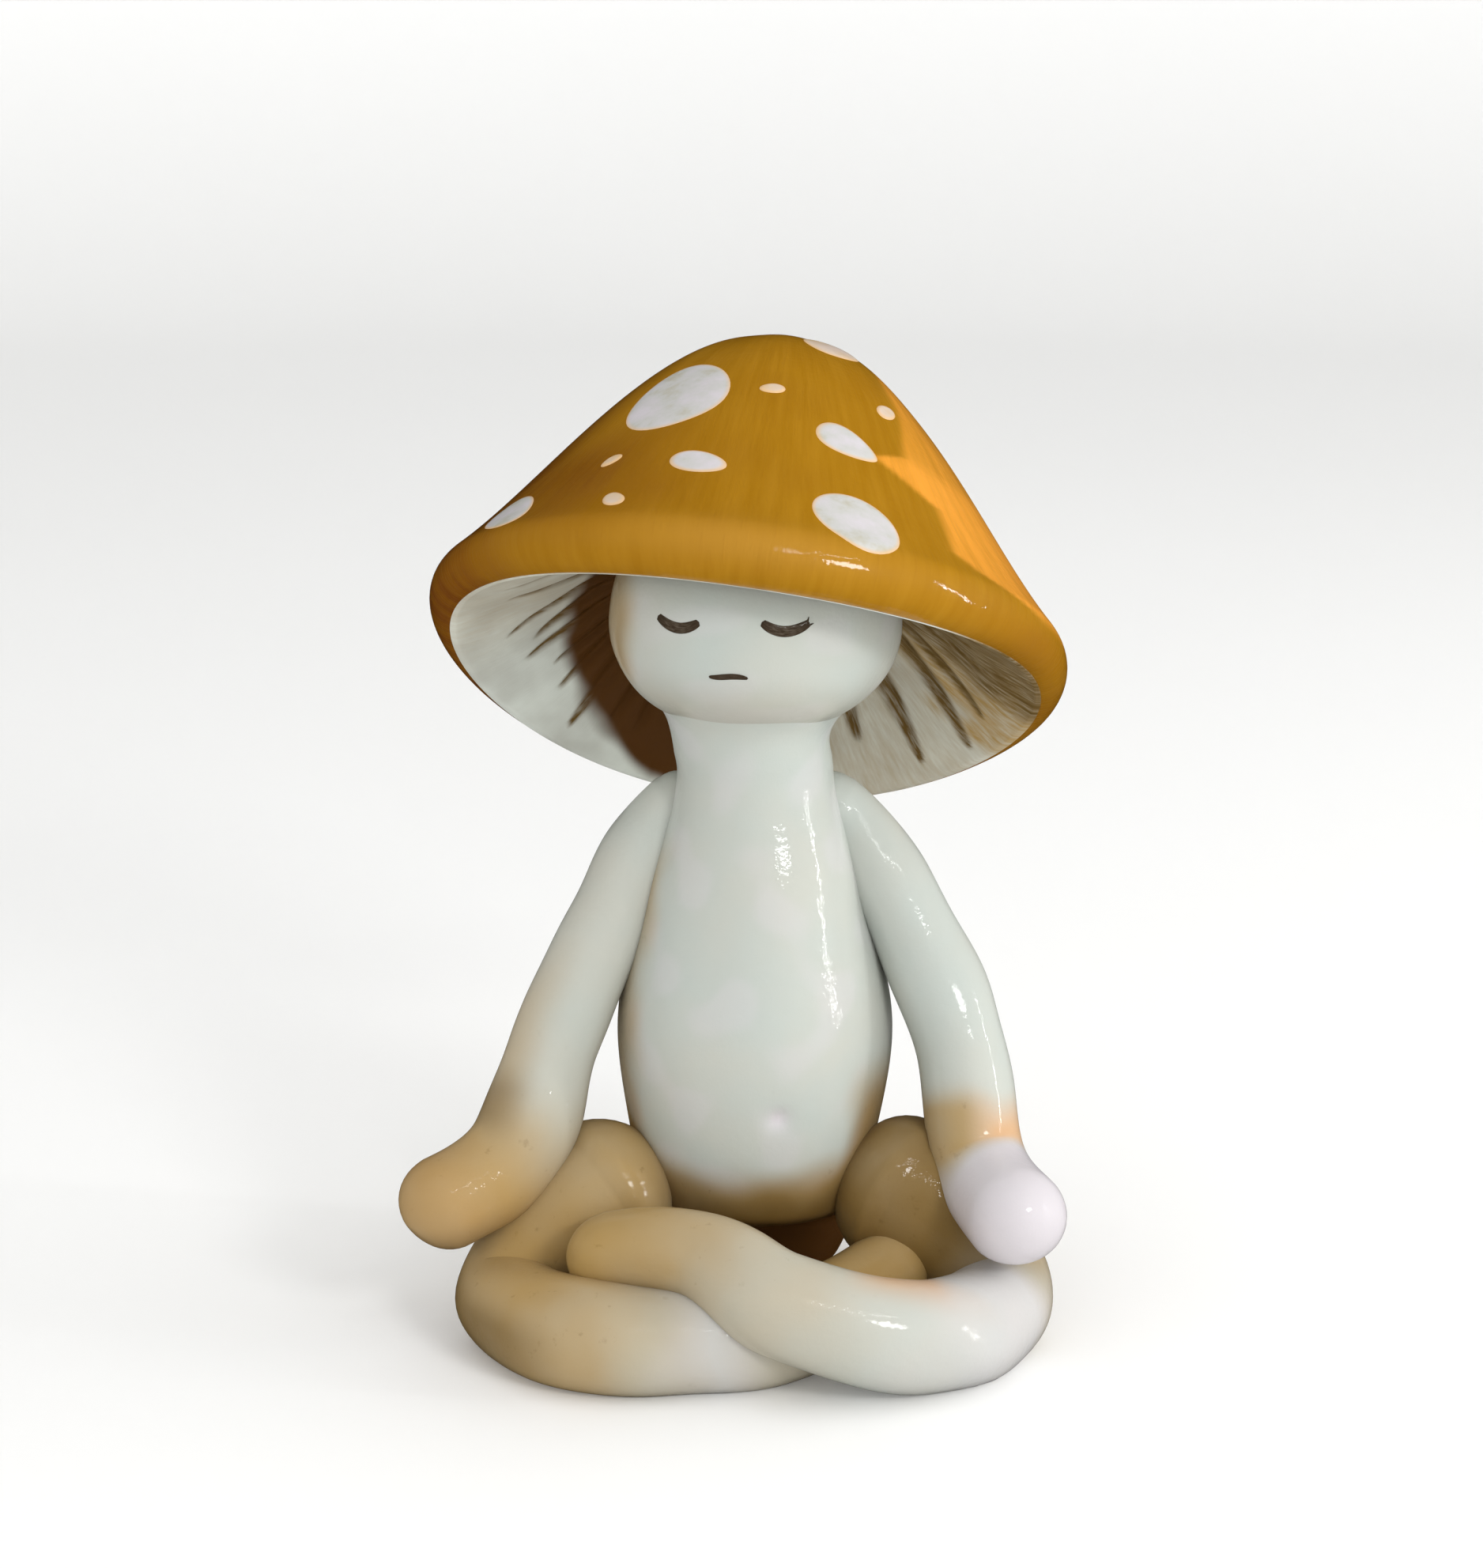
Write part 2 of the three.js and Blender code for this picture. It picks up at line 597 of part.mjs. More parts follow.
// Foil cores, with the wire pin that joins them through the neck
const torsoCoreMiddle = point(0, 0, BELLY_HEIGHT);
const torsoCore = (grow) =>
  coreGeometry(torsoCoreMiddle, TORSO_CORE_RADIUS + grow, TORSO_CORE_HEIGHT / 2 + grow);
const headCore = (grow) => coreGeometry(headMiddle, HEAD_CORE_RADIUS + grow, HEAD_CORE_RADIUS + grow);
const neckPinLow = BELLY_HEIGHT + TORSO_CORE_HEIGHT / 2 + CLEARANCE;
const neckPinHigh = headMiddle.z - HEAD_CORE_RADIUS - CLEARANCE;
const neckPin = {
  middle: point(0, 0, (neckPinLow + neckPinHigh) / 2),
  along: point(0, 0, 1),
  length: neckPinHigh - neckPinLow,
  radius: NECK_PIN_RADIUS,
};
const neckBore = { ...neckPin, length: neckPin.length + 4 * NECK_PIN_RADIUS };

// Short pins that hold the limbs and the cap
function limbPin(from, to, share) {
  return {
    middle: from.clone().lerp(to, share),
    along: to.clone().sub(from),
    length: LIMB_PIN_LENGTH,
    radius: LIMB_PIN_RADIUS,
  };
}
function shoulderPin(side, arm) {
  const height = arm.points[1].z - ELBOW_RADIUS;
  const middle = point(side * torsoRadiusAt(height), arm.points[1].y, height);
  return { middle, along: point(side, 0, 0), length: LIMB_PIN_LENGTH, radius: LIMB_PIN_RADIUS };
}
const pins = {
  neck_pin: neckPin,
  right_hip_pin: limbPin(rightLeg.points[0], rightLeg.points[1], 0.4),
  left_hip_pin: limbPin(leftLeg.points[0], leftLeg.points[1], 0.4),
  right_shoulder_pin: shoulderPin(-1, rightArm),
  left_shoulder_pin: shoulderPin(1, leftArm),
};

// Solids, each cut by those that it is pressed onto
const bore = (pin) => solidOf(pinGeometry(pin, CLEARANCE));
const limbPins = Object.values(pins).filter((pin) => pin !== neckPin);
const limbBores = limbPins.map(bore);
const torsoGrown = solidOf(torsoGeometry(CLEARANCE));
const rightLegGrown = solidOf(coilGeometry(rightLeg, CLEARANCE));
const leftLegGrown = solidOf(coilGeometry(leftLeg, CLEARANCE));
const navel = solidOf(coreGeometry(navelMiddle, NAVEL_RADIUS, NAVEL_RADIUS));
const coil = (limb) => solidOf(coilGeometry(limb));

const clay = {
  torso: cut(solidOf(torsoGeometry()), navel, solidOf(torsoCore(CLEARANCE)), bore(neckBore), ...limbBores),
  right_leg: cut(coil(rightLeg), torsoGrown, worktop, ...limbBores),
  left_leg: cut(coil(leftLeg), torsoGrown, rightLegGrown, worktop, ...limbBores),
  right_arm: cut(coil(rightArm), torsoGrown, rightLegGrown, leftLegGrown, ...limbBores),
  left_arm: cut(coil(leftArm), torsoGrown, rightLegGrown, leftLegGrown, ...limbBores),
};

// The cap's pin stands half in the head and half in the cap.
const headReach = (HEAD_RADIUS + HEAD_HALF_HEIGHT) / 2;
const capPin = {
  middle: headMiddle.clone().addScaledVector(capAxis, headReach),
  along: capAxis,
  length: CAP_PIN_LENGTH,
  radius: LIMB_PIN_RADIUS,
};
const grooves = Object.values(faceThreads).map((thread) => solidOf(coilGeometry(thread, CLEARANCE)));
const inHead = (geometry) => solidOf(geometry, figureToHead);
const headSolid = cut(
  solidOf(headGeometry()),
  inHead(torsoGeometry(CLEARANCE)),
  inHead(headCore(CLEARANCE)),
  inHead(pinGeometry(neckBore, CLEARANCE)),
  inHead(pinGeometry(capPin, CLEARANCE)),
  ...grooves,
);

const headHole = solidOf(headGeometry(CLEARANCE), headToCap);
const spotSolids = SPOTS.map((spot) => solidOf(spotGeometry(spot, -SPOT_DEPTH, SPOT_PROUD)));
const recesses = SPOTS.map((spot) =>
  solidOf(spotGeometry(spot, -SPOT_DEPTH - CLEARANCE, SPOT_PROUD + CLEARANCE, CLEARANCE)),
);
const capBore = solidOf(pinGeometry(capPin, CLEARANCE), figureToCap);
const shellSolid = cut(solidOf(capShellGeometry()), headHole, capBore, ...recesses);
const liningSolid = cut(solidOf(liningGeometry()), headHole, capBore);

// Scene graph
const paint = (color, roughness, metalness = 0) =>
  new THREE.MeshStandardMaterial({ color, roughness, metalness });
const cream = paint(0xdcdccf, 0.25);
const mustard = paint(0xb5791a, 0.25);
const white = paint(0xdcd5d8, 0.35);
const umber = paint(0x2a1c10, 0.4);
const foil = paint(0xb8bcc0, 0.4, 1);
const steel = paint(0x9a9da0, 0.35, 1);

function named(name, solid, material) {
  const mesh = new THREE.Mesh(geometryOf(solid), material);
  mesh.name = name;
  return mesh;
}

const figure = new THREE.Group();
for (const [name, solid] of Object.entries(clay)) figure.add(named(name, solid, cream));
for (const [name, pin] of Object.entries(pins)) figure.add(named(name, solidOf(pinGeometry(pin)), steel));
figure.add(named("torso_core", solidOf(torsoCore(0)), foil));

const headGroup = new THREE.Group();
headGroup.applyMatrix4(headMatrix);
headGroup.add(named("head", headSolid, cream));
headGroup.add(named("head_core", inHead(headCore(0)), foil));
for (const [name, thread] of Object.entries(faceThreads)) headGroup.add(named(name, coil(thread), umber));
figure.add(headGroup);

const capGroup = new THREE.Group();
capGroup.applyMatrix4(capMatrix);
capGroup.add(named("cap_shell", shellSolid, mustard));
capGroup.add(named("gill_lining", liningSolid, cream));
capGroup.add(named("cap_pin", solidOf(pinGeometry(capPin), figureToCap), steel));
spotSolids.forEach((solid, i) => {
  capGroup.add(named(`cap_spot_${String(i + 1).padStart(2, "0")}`, solid, white));
});
figure.add(capGroup);

// The origin is on the worktop, under the middle of the figure's box.
const root = new THREE.Group();
root.add(figure);
const box = new THREE.Box3().setFromObject(root, true);
const middle = box.getCenter(point(0, 0, 0));
figure.position.set(-middle.x, -middle.y, -box.min.z);

export default root;
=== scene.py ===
"""A hand-made clay mushroom figure that sits cross-legged under a tilted, spotted cap, painted and varnished.

Sizes are in millimetres and degrees, in the figure's own frame: +Z is up, the figure faces -Y and its
left is +X. They are the sizes of the solids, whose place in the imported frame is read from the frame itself.
"""

import math

import bmesh
import bpy
import numpy as np
from mathutils import Matrix, Vector


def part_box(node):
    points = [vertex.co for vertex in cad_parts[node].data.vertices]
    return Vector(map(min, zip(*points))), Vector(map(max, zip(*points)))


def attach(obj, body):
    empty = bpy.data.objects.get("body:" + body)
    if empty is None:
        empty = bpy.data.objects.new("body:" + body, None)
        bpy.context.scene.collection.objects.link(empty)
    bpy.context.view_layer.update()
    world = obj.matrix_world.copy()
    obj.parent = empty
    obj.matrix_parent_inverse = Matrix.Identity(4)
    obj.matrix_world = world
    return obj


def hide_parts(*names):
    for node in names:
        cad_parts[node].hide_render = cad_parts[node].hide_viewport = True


MM = 0.001

# Torso
TORSO_HEIGHT = 63
SEAT_RADIUS = 8
SEAT_BACK = 12
SEAT_BULGE = 6
UNDERCUT_LOW = 7
UNDERCUT_HIGH = 13
HIP_RADIUS = 10.8
HIP_HEIGHT = 7.5
BELLY_RADIUS = 14.1
BELLY_HEIGHT = 29
CHEST_RADIUS = 11.3
CHEST_HEIGHT = 44.5
NECK_RADIUS = 7.9
NECK_HEIGHT = 56
NECK_FLARE = 1.1
FILLET_LOW = 58.8  # between these heights the neck is smoothed onto the head, out to the fillet's radius
FILLET_HIGH = 64.8
FILLET_RADIUS = 10.6
SEAT_ROUND = 2  # rounding round the flat of the seat
NAVEL_RADIUS = 1.1
NAVEL_DEPTH = 0.5
NAVEL_HEIGHT = 24.4
NAVEL_TURN = 10

# Head and face
HEAD_RADIUS = 14.7
HEAD_HALF_HEIGHT = 11.6
HEAD_SQUARENESS = 2.25
HEAD_SINK = 1.4
HEAD_TURN = -10
HEAD_LEAN = 2.5
EYE_SPACING = 10.5
EYE_WIDTH = 4.4
EYE_SAG = 0.85
EYE_RISE = 2
EYE_UNEVEN = 0.45  # how much lower the right eye is
EYE_HALF_WIDTH = 0.48
MOUTH_WIDTH = 3.9
MOUTH_DROP = 3.7
MOUTH_HALF_WIDTH = 0.34
STROKE_PROUD = 0.1  # how far a painted stroke of the face stands out

# Cap
CAP_RADIUS = 33
CAP_HEIGHT = 37.9
CAP_CROWN = 15.2
CAP_FLARE_IN = 9.9
CAP_FLARE_UP = 11.9
CAP_LIP_RADIUS = 3.1
CAP_TILT = 34.2
CAP_LEAN = 8.1
CAP_DROOP = 1.6
CAP_BROW = 1.5
CAP_BROW_TURN = 20
HEAD_FORWARD_IN_CAP = 9.1
HEAD_RISE_IN_CAP = 3.5
HOLLOW_HEIGHT = 17
HOLLOW_CROWN = 11
HOLLOW_FLARE_IN = 9.9
HOLLOW_FLARE_UP = 6.2
LINING_WALL = 2.5
LINING_PROUD = 0.06  # how far the lining stands over the lip where it wraps round it
LINING_BURIED = 0.8
GILL_DEPTH = 0.7
SPOT_SIZE = 10
SPOT_PROUD = 0.14
SPOT_SUNK = 0.6

# Legs
THIGH_RADIUS = 7.8
KNEE_RADIUS = 5.6
SHIN_RADIUS = 5
FOOT_RADIUS = 4
HIP_JOINT_HEIGHT = 16.5
HIP_JOINT_FORWARD = 3
THIGH_IN = 3.2
THIGH_OUT = 4.5
THIGH_FORWARD = 4
THIGH_DROP = 3.6
KNEE_SPREAD = 24.9
KNEE_FORWARD = 11
SHIN_FORWARD = 23.4
FOOT_SPREAD = 16.5
WORKTOP_FLAT = 0.5

# Arms
SHOULDER_HEIGHT = 53
SHOULDER_RADIUS = 3.6
ELBOW_RADIUS = 4.4
WRIST_RADIUS = 5
HAND_RADIUS = 5.1
ARM_OUT = 0.9
ARM_BACK = 2
ARM_DROP = 2
WRIST_IN = 2

# Studio, in metres
FLOOR_FLAT = 0.9  # radius of the flat of the floor
FLOOR_SWEEP = 0.6  # radius with which it turns up into the wall
WALL_HEIGHT = 0.9
FLOOR_GLOW = 0.08  # light of its own, so that it is close to white
WALL_GLOW = 0.6
WORLD_LIGHT = 0.45
FIGURE_MIDDLE = (0, 0, 0.05)  # what most lights face

# Camera, in the figure's frame
CAMERA_PLACE = (-1.328, -340, 138)
CAMERA_DOWN = 13.62  # how far below level it looks
CAMERA_LENS = 79
CAMERA_SENSOR = 36

# How uneven the hands left the clay
LUMP_HEIGHT = 0.16
LUMP_SIZE = 11

# Paints, as linear colours
COOL_WHITE = (0.48, 0.52, 0.485)
WARM_WHITE = (0.51, 0.52, 0.47)
LINING_WHITE = (0.74, 0.78, 0.72)
LILAC_WHITE = (0.62, 0.585, 0.61)
TAN = (0.42, 0.272, 0.095)
PEACH = (0.66, 0.36, 0.16)
UMBER = (0.13, 0.075, 0.018)
DARK_UMBER = (0.08, 0.031, 0.006)
MUSTARD = (0.34, 0.155, 0.004)
BRIGHT_MUSTARD = (0.43, 0.21, 0.012)
PALE_MUSTARD = (0.46, 0.23, 0.03)
BURNT_MUSTARD = (0.18, 0.055, 0.004)
ORANGE = (0.78, 0.32, 0.035)
PALE_ORANGE = (0.72, 0.46, 0.22)
EYE_BROWN = (0.045, 0.030, 0.018)
EYE_GREY = (0.12, 0.095, 0.07)
PALE_FLOOR = (0.88, 0.88, 0.87)
PALER_FLOOR = (0.91, 0.91, 0.90)

# Weights of the varnish over each paint
BODY_VARNISH = 0.5
LINING_VARNISH = 0.1
CAP_VARNISH = 0.6
SPOT_VARNISH = 0.4
FACE_VARNISH = 0.5
VARNISH_ROUGHNESS = 0.05
CLAY_SHINE = 0.05  # what the clay under the varnish reflects by itself

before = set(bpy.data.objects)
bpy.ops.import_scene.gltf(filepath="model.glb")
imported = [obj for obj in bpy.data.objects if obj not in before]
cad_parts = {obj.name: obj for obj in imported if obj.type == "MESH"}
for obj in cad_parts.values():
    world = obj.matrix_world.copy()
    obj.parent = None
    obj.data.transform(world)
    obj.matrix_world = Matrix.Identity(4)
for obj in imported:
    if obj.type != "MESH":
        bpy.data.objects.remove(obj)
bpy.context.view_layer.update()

# The torso's core stands on the figure's own axis at belly height, which places the figure in the frame.
core_low, core_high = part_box("torso_core")
FIGURE_PLACE = np.array((core_low + core_high) / 2) / MM - (0, 0, BELLY_HEIGHT)


def turned(axis, degrees):
    """A rotation about a named axis."""
    return np.array(Matrix.Rotation(math.radians(degrees), 3, axis))


def unit(vectors):
    """Vectors of length one in the same directions."""
    return vectors / np.maximum(np.linalg.norm(vectors, axis=-1, keepdims=True), 1e-9)


def ease(low, high, value):
    """Rises smoothly from 0 to 1 as a value goes from low to high."""
    share = np.clip((value - low) / (high - low), 0, 1)
    return share * share * (3 - 2 * share)


def lumps(points, size, seed, waves=6):
    """Soft irregular bumps about one high, a size apart."""
    random = np.random.default_rng(seed)
    total = 0
    for _ in range(waves):
        direction = unit(random.normal(size=3))
        pitch = 2 * math.pi / (size * random.uniform(0.7, 1.4))
        total = total + np.sin(points @ direction * pitch + random.uniform(0, 2 * math.pi))
    return total / math.sqrt(waves)


# Curves


def smooth_curve(points, steps, centripetal=True):
    """A smooth curve through points, run on past its ends if centripetal."""
    points = [np.array(point, float) for point in points]
    before = 2 * points[0] - points[1] if centripetal else points[0]
    after = 2 * points[-1] - points[-2] if centripetal else points[-1]
    run = [before, *points, after]
    share = np.linspace(0, 1, steps, endpoint=False)[:, None]
    curve = []
    for a, b, c, d in zip(run, run[1:], run[2:], run[3:]):
        gaps = [np.linalg.norm(q - p) ** 0.5 if centripetal else 1 for p, q in ((a, b), (b, c), (c, d))]
        lead = ((b - a) / gaps[0] - (c - a) / (gaps[0] + gaps[1]) + (c - b) / gaps[1]) * gaps[1]
        leave = ((c - b) / gaps[1] - (d - b) / (gaps[1] + gaps[2]) + (d - c) / gaps[2]) * gaps[1]
        square, cube = share**2, share**3
        curve.append(
            b * (2 * cube - 3 * square + 1)
            + lead * (cube - 2 * square + share)
            + c * (3 * square - 2 * cube)
            + leave * (cube - square)
        )
    return np.concatenate([*curve, points[-1][None]])


def lengths_along(curve):
    """How far along a curve each of its points lies."""
    steps = np.linalg.norm(np.diff(curve, axis=0), axis=1)
    return np.concatenate([[0], np.cumsum(steps)])


def at_lengths(curve, places):
    """Points of a curve at lengths along it."""
    along = lengths_along(curve)
    return np.stack([np.interp(places, along, axis) for axis in curve.T], axis=-1)


def arc(middle, radius, start, end, steps):
    """Points of an arc in a plane, between two angles in radians."""
    angles = np.linspace(start, end, steps)
    return np.stack([middle[0] + radius * np.cos(angles), middle[1] + radius * np.sin(angles)], axis=-1)


def bezier(a, b, c, d, steps):
    """Points of a cubic curve."""
    share = np.linspace(0, 1, steps)[:, None]
    a, b, c, d = (np.array(point, float) for point in (a, b, c, d))
    rest = 1 - share
    return a * rest**3 + 3 * b * share * rest**2 + 3 * c * share**2 * rest + d * share**3


def stops(share, *values):
    """A value that follows a share, through pairs of a share and a value."""
    places, heights = zip(*values)
    return np.interp(share, places, heights)


# Meshes


def round_points(radius, turn, up):
    """Points at a radius round the upright axis, by their turn from the front and their height."""
    return np.stack(np.broadcast_arrays(radius * np.sin(turn), -radius * np.cos(turn), up), axis=-1)


def between_rings(rows, sides):
    """Faces between each ring of points and the next."""
    here = np.arange(rows * sides).reshape(rows, sides)
    beside = np.roll(here, -1, axis=1)
    return np.stack([here[:-1], beside[:-1], beside[1:], here[1:]], axis=-1).reshape(-1, 4)


def skin(rings, start, end):
    """Points and faces of a closed skin over rings of points, drawn to a point at each end."""
    rows, sides = rings.shape[:2]
    points = np.concatenate([rings.reshape(-1, 3), [start, end]])
    first = [(rows * sides, (i + 1) % sides, i) for i in range(sides)]
    last_ring = (rows - 1) * sides
    last = [(rows * sides + 1, last_ring + i, last_ring + (i + 1) % sides) for i in range(sides)]
    return points, [*between_rings(rows, sides).tolist(), *first, *last]


def over_skin(values, start=0.0, end=0.0):
    """Values of a skin's rings, and of the points at its ends, in the order of its points."""
    return np.concatenate([np.ravel(values), [start, end]])


def make_piece(name, points, faces, nodes, material, paints=None):
    """A closed mesh that stands for nodes of the frame, with a named number at each point for each paint."""
    mesh = bpy.data.meshes.new(name)
    mesh.from_pydata(((points + FIGURE_PLACE) * MM).tolist(), [], faces)
    shape = bmesh.new()
    shape.from_mesh(mesh)
    bmesh.ops.recalc_face_normals(shape, faces=shape.faces)
    shape.to_mesh(mesh)
    shape.free()
    for paint, values in (paints or {}).items():
        vector = np.ndim(values) == 2
        attribute = mesh.attributes.new(paint, "FLOAT_VECTOR" if vector else "FLOAT", "POINT")
        attribute.data.foreach_set("vector" if vector else "value", np.ravel(values).astype(np.float32))
    mesh.shade_smooth()
    mesh.materials.append(material)
    piece = bpy.data.objects.new(name, mesh)
    bpy.context.scene.collection.objects.link(piece)
    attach(piece, "root")
    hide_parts(*nodes)
    return piece


# Materials


class Paint:
    """A varnished material whose colour is built up in layers."""

    def __init__(self, name):
        self.material = bpy.data.materials.new(name)
        self.material.use_nodes = True
        self.tree = self.material.node_tree
        self.shader = self.tree.nodes["Principled BSDF"]

    def node(self, kind, inputs=None, **settings):
        made = self.tree.nodes.new(kind)
        for key, value in settings.items():
            setattr(made, key, value)
        for key, value in (inputs or {}).items():
            self.feed(made.inputs[key], value)
        return made

    def feed(self, socket, value):
        """Links an output, or sets a colour or number."""
        if isinstance(value, bpy.types.NodeSocket):
            self.tree.links.new(value, socket)
        elif isinstance(value, tuple) and socket.type == "RGBA":
            socket.default_value = (*value, 1)
        else:
            socket.default_value = value

    def place(self):
        return self.node("ShaderNodeTexCoord").outputs["Object"]

    def painted(self, name, output="Fac"):
        return self.node("ShaderNodeAttribute", attribute_name=name).outputs[output]

    def noise(self, vector, scale, detail=2.0, roughness=0.5):
        inputs = {"Vector": vector, "Scale": scale, "Detail": detail, "Roughness": roughness}
        return self.node("ShaderNodeTexNoise", inputs).outputs["Fac"]

    def ramp(self, value, low, high, start=0.0, end=1.0):
        """Maps a value from one range to another, and holds it there."""
        inputs = {"Value": value, "From Min": low, "From Max": high, "To Min": start, "To Max": end}
        return self.node("ShaderNodeMapRange", inputs).outputs["Result"]

    def times(self, a, b):
        return self.node("ShaderNodeMath", {0: a, 1: b}, operation="MULTIPLY", use_clamp=True).outputs[0]

    def layer(self, share, under, over):
        """Lays a colour over another, as thick as its share."""
        made = self.node("ShaderNodeMix", data_type="RGBA")
        self.feed(made.inputs["Factor"], share)
        for socket, value in zip([s for s in made.inputs if s.type == "RGBA"], (under, over)):
            self.feed(socket, value)
        return next(s for s in made.outputs if s.type == "RGBA")

    def bump(self, height, strength, distance, normal=None):
        inputs = {"Height": height, "Strength": strength, "Distance": distance}
        if normal is not None:
            inputs["Normal"] = normal
        return self.node("ShaderNodeBump", inputs).outputs["Normal"]

    def finish(self, **sockets):
        """Feeds the shader's sockets, named with underscores for spaces."""
        for name, value in sockets.items():
            self.feed(self.shader.inputs[name.replace("_", " ")], value)
        return self.material


def varnished(paint, colour, grain, varnish):
    """Finishes a painted clay with a weight of uneven varnish, over a grain of brush marks or clay."""
    place = paint.place()
    ripple = paint.noise(place, 420.0, 2.0)
    patches = paint.ramp(paint.noise(place, 90.0, 2.0), 0.4, 0.55, 0.35, 1.0)
    beads = paint.times(paint.noise(place, 1500.0, 2.0), patches)
    rough = paint.ramp(paint.noise(place, 160.0, 3.0), 0.3, 0.7, 0.3, 0.45)
    clay = paint.bump(grain, 0.25, 0.0002)
    pool = paint.bump(beads, 0.5, 0.00011, paint.bump(ripple, 0.1, 0.0005))
    return paint.finish(
        Base_Color=colour,
        Roughness=rough,
        Normal=clay,
        Specular_IOR_Level=CLAY_SHINE,
        Coat_Weight=varnish,
        Coat_Roughness=VARNISH_ROUGHNESS,
        Coat_Normal=pool,
    )


def body_clay():
    """Off-white clay, tan that is partly painted warm shade, and brown and dark brown that are mostly painted
    shade.
    """
    paint = Paint("body_clay")
    place = paint.place()
    mottle = paint.noise(place, 70.0, 3.0)
    grain = paint.noise(place, 700.0, 4.0, 0.6)
    uneven = paint.ramp(mottle, 0.3, 0.7, 0.8, 1.05)
    colour = paint.layer(paint.ramp(mottle, 0.35, 0.65), COOL_WHITE, WARM_WHITE)
    colour = paint.layer(paint.painted("lilac"), colour, LILAC_WHITE)
    # The tan is partly painted warm shade; the brown and dark brown are mostly painted shade, from each
    # piece's paints
    colour = paint.layer(paint.times(paint.painted("tan_and_shade"), uneven), colour, TAN)
    colour = paint.layer(paint.times(paint.painted("peach"), uneven), colour, PEACH)
    colour = paint.layer(paint.times(paint.painted("umber"), uneven), colour, UMBER)
    specks = paint.ramp(grain, 0.28, 0.36, 0.25, 0.0)
    colour = paint.layer(paint.times(specks, paint.painted("tan_and_shade")), colour, UMBER)
    colour = paint.layer(paint.painted("deep"), colour, DARK_UMBER)
    return varnished(paint, colour, grain, BODY_VARNISH)


def lining_clay():
    """White clay with brown strokes along its gills, and tan, brown and dark brown painted shade."""
    paint = Paint("lining_clay")
    place = paint.place()
    brush = paint.painted("brush", "Vector")
    streaks = paint.noise(brush, 1.6, 3.0, 0.6)
    mottle = paint.noise(place, 90.0, 3.0)
    uneven = paint.ramp(streaks, 0.3, 0.7, 0.6, 1.2)
    colour = paint.layer(paint.ramp(mottle, 0.35, 0.65), LINING_WHITE, WARM_WHITE)
    colour = paint.layer(paint.times(paint.painted("tan_and_shade"), uneven), colour, TAN)
    colour = paint.layer(paint.times(paint.painted("stroke"), uneven), colour, UMBER)
    colour = paint.layer(paint.painted("deep"), colour, DARK_UMBER)
    return varnished(paint, colour, streaks, LINING_VARNISH)


def cap_clay():
    """Mustard paint, brushed from the crown to the rim over the clay."""
    paint = Paint("cap_clay")
    place = paint.place()
    brush = paint.painted("brush", "Vector")
    streaks = paint.noise(brush, 0.55, 4.0, 0.6)
    hairs = paint.noise(brush, 2.4, 3.0, 0.6)
    mottle = paint.noise(place, 45.0, 3.0)
    uneven = paint.ramp(streaks, 0.3, 0.7, 0.65, 1.2)
    colour = paint.layer(paint.ramp(streaks, 0.36, 0.66, 0.0, 0.5), MUSTARD, BRIGHT_MUSTARD)
    colour = paint.layer(paint.ramp(mottle, 0.5, 0.8, 0.0, 0.2), colour, BURNT_MUSTARD)
    # The brown is partly painted shade, the orange is a painted warm reflection, and the pale edge of the lip
    # is a painted sheen
    colour = paint.layer(paint.times(paint.painted("brown_and_shade"), uneven), colour, BURNT_MUSTARD)
    colour = paint.layer(paint.times(paint.painted("orange"), uneven), colour, ORANGE)
    colour = paint.layer(paint.painted("edge"), colour, PALE_MUSTARD)
    colour = paint.layer(paint.ramp(hairs, 0.58, 0.8, 0.0, 0.12), colour, BURNT_MUSTARD)
    return varnished(paint, colour, hairs, CAP_VARNISH)


def spot_clay():
    """Pale lilac clay, with the cap's paint thin along its edge."""
    paint = Paint("spot_clay")
    place = paint.place()
    mottle = paint.noise(place, 260.0, 4.0, 0.6)
    grain = paint.noise(place, 900.0, 3.0)
    colour = paint.layer(paint.ramp(mottle, 0.35, 0.65), LILAC_WHITE, WARM_WHITE)
    colour = paint.layer(paint.ramp(mottle, 0.55, 0.72, 0.0, 0.35), colour, TAN)
    warm = paint.times(paint.painted("peach"), paint.ramp(mottle, 0.3, 0.7, 0.5, 1.2))
    colour = paint.layer(warm, colour, PALE_ORANGE)
    colour = paint.layer(paint.painted("edge"), colour, PALE_ORANGE)
    return varnished(paint, colour, grain, SPOT_VARNISH)


def face_paint():
    """Dark brown paint in which the brush left lighter hairs."""
    paint = Paint("face_paint")
    hairs = paint.noise(paint.painted("brush", "Vector"), 3.0, 3.0, 0.6)
    worn = paint.times(paint.ramp(hairs, 0.42, 0.7), paint.painted("thin"))
    colour = paint.layer(worn, EYE_BROWN, EYE_GREY)
    return varnished(paint, colour, hairs, FACE_VARNISH)


def metal(name, dark, bright, scale, roughness):
    """Bare metal, dull and bright in patches."""
    paint = Paint(name)
    place = paint.place()
    patches = paint.noise(place, scale, 4.0, 0.6)
    colour = paint.layer(patches, dark, bright)
    rough = paint.ramp(patches, 0.3, 0.7, roughness - 0.1, roughness + 0.1)
    dents = paint.bump(patches, 0.5, 0.0004)
    return paint.finish(Base_Color=colour, Roughness=rough, Normal=dents, Metallic=1.0)


BODY = body_clay()
LINING = lining_clay()
CAP = cap_clay()
SPOT = spot_clay()
FACE = face_paint()
FOIL = metal("foil", (0.5, 0.51, 0.53), (0.8, 0.81, 0.83), 500.0, 0.35)
WIRE = metal("wire", (0.38, 0.39, 0.4), (0.62, 0.63, 0.64), 900.0, 0.3)


# Torso

HEAD_MIDDLE = np.array([0, 0, TORSO_HEIGHT + HEAD_HALF_HEIGHT - HEAD_SINK])


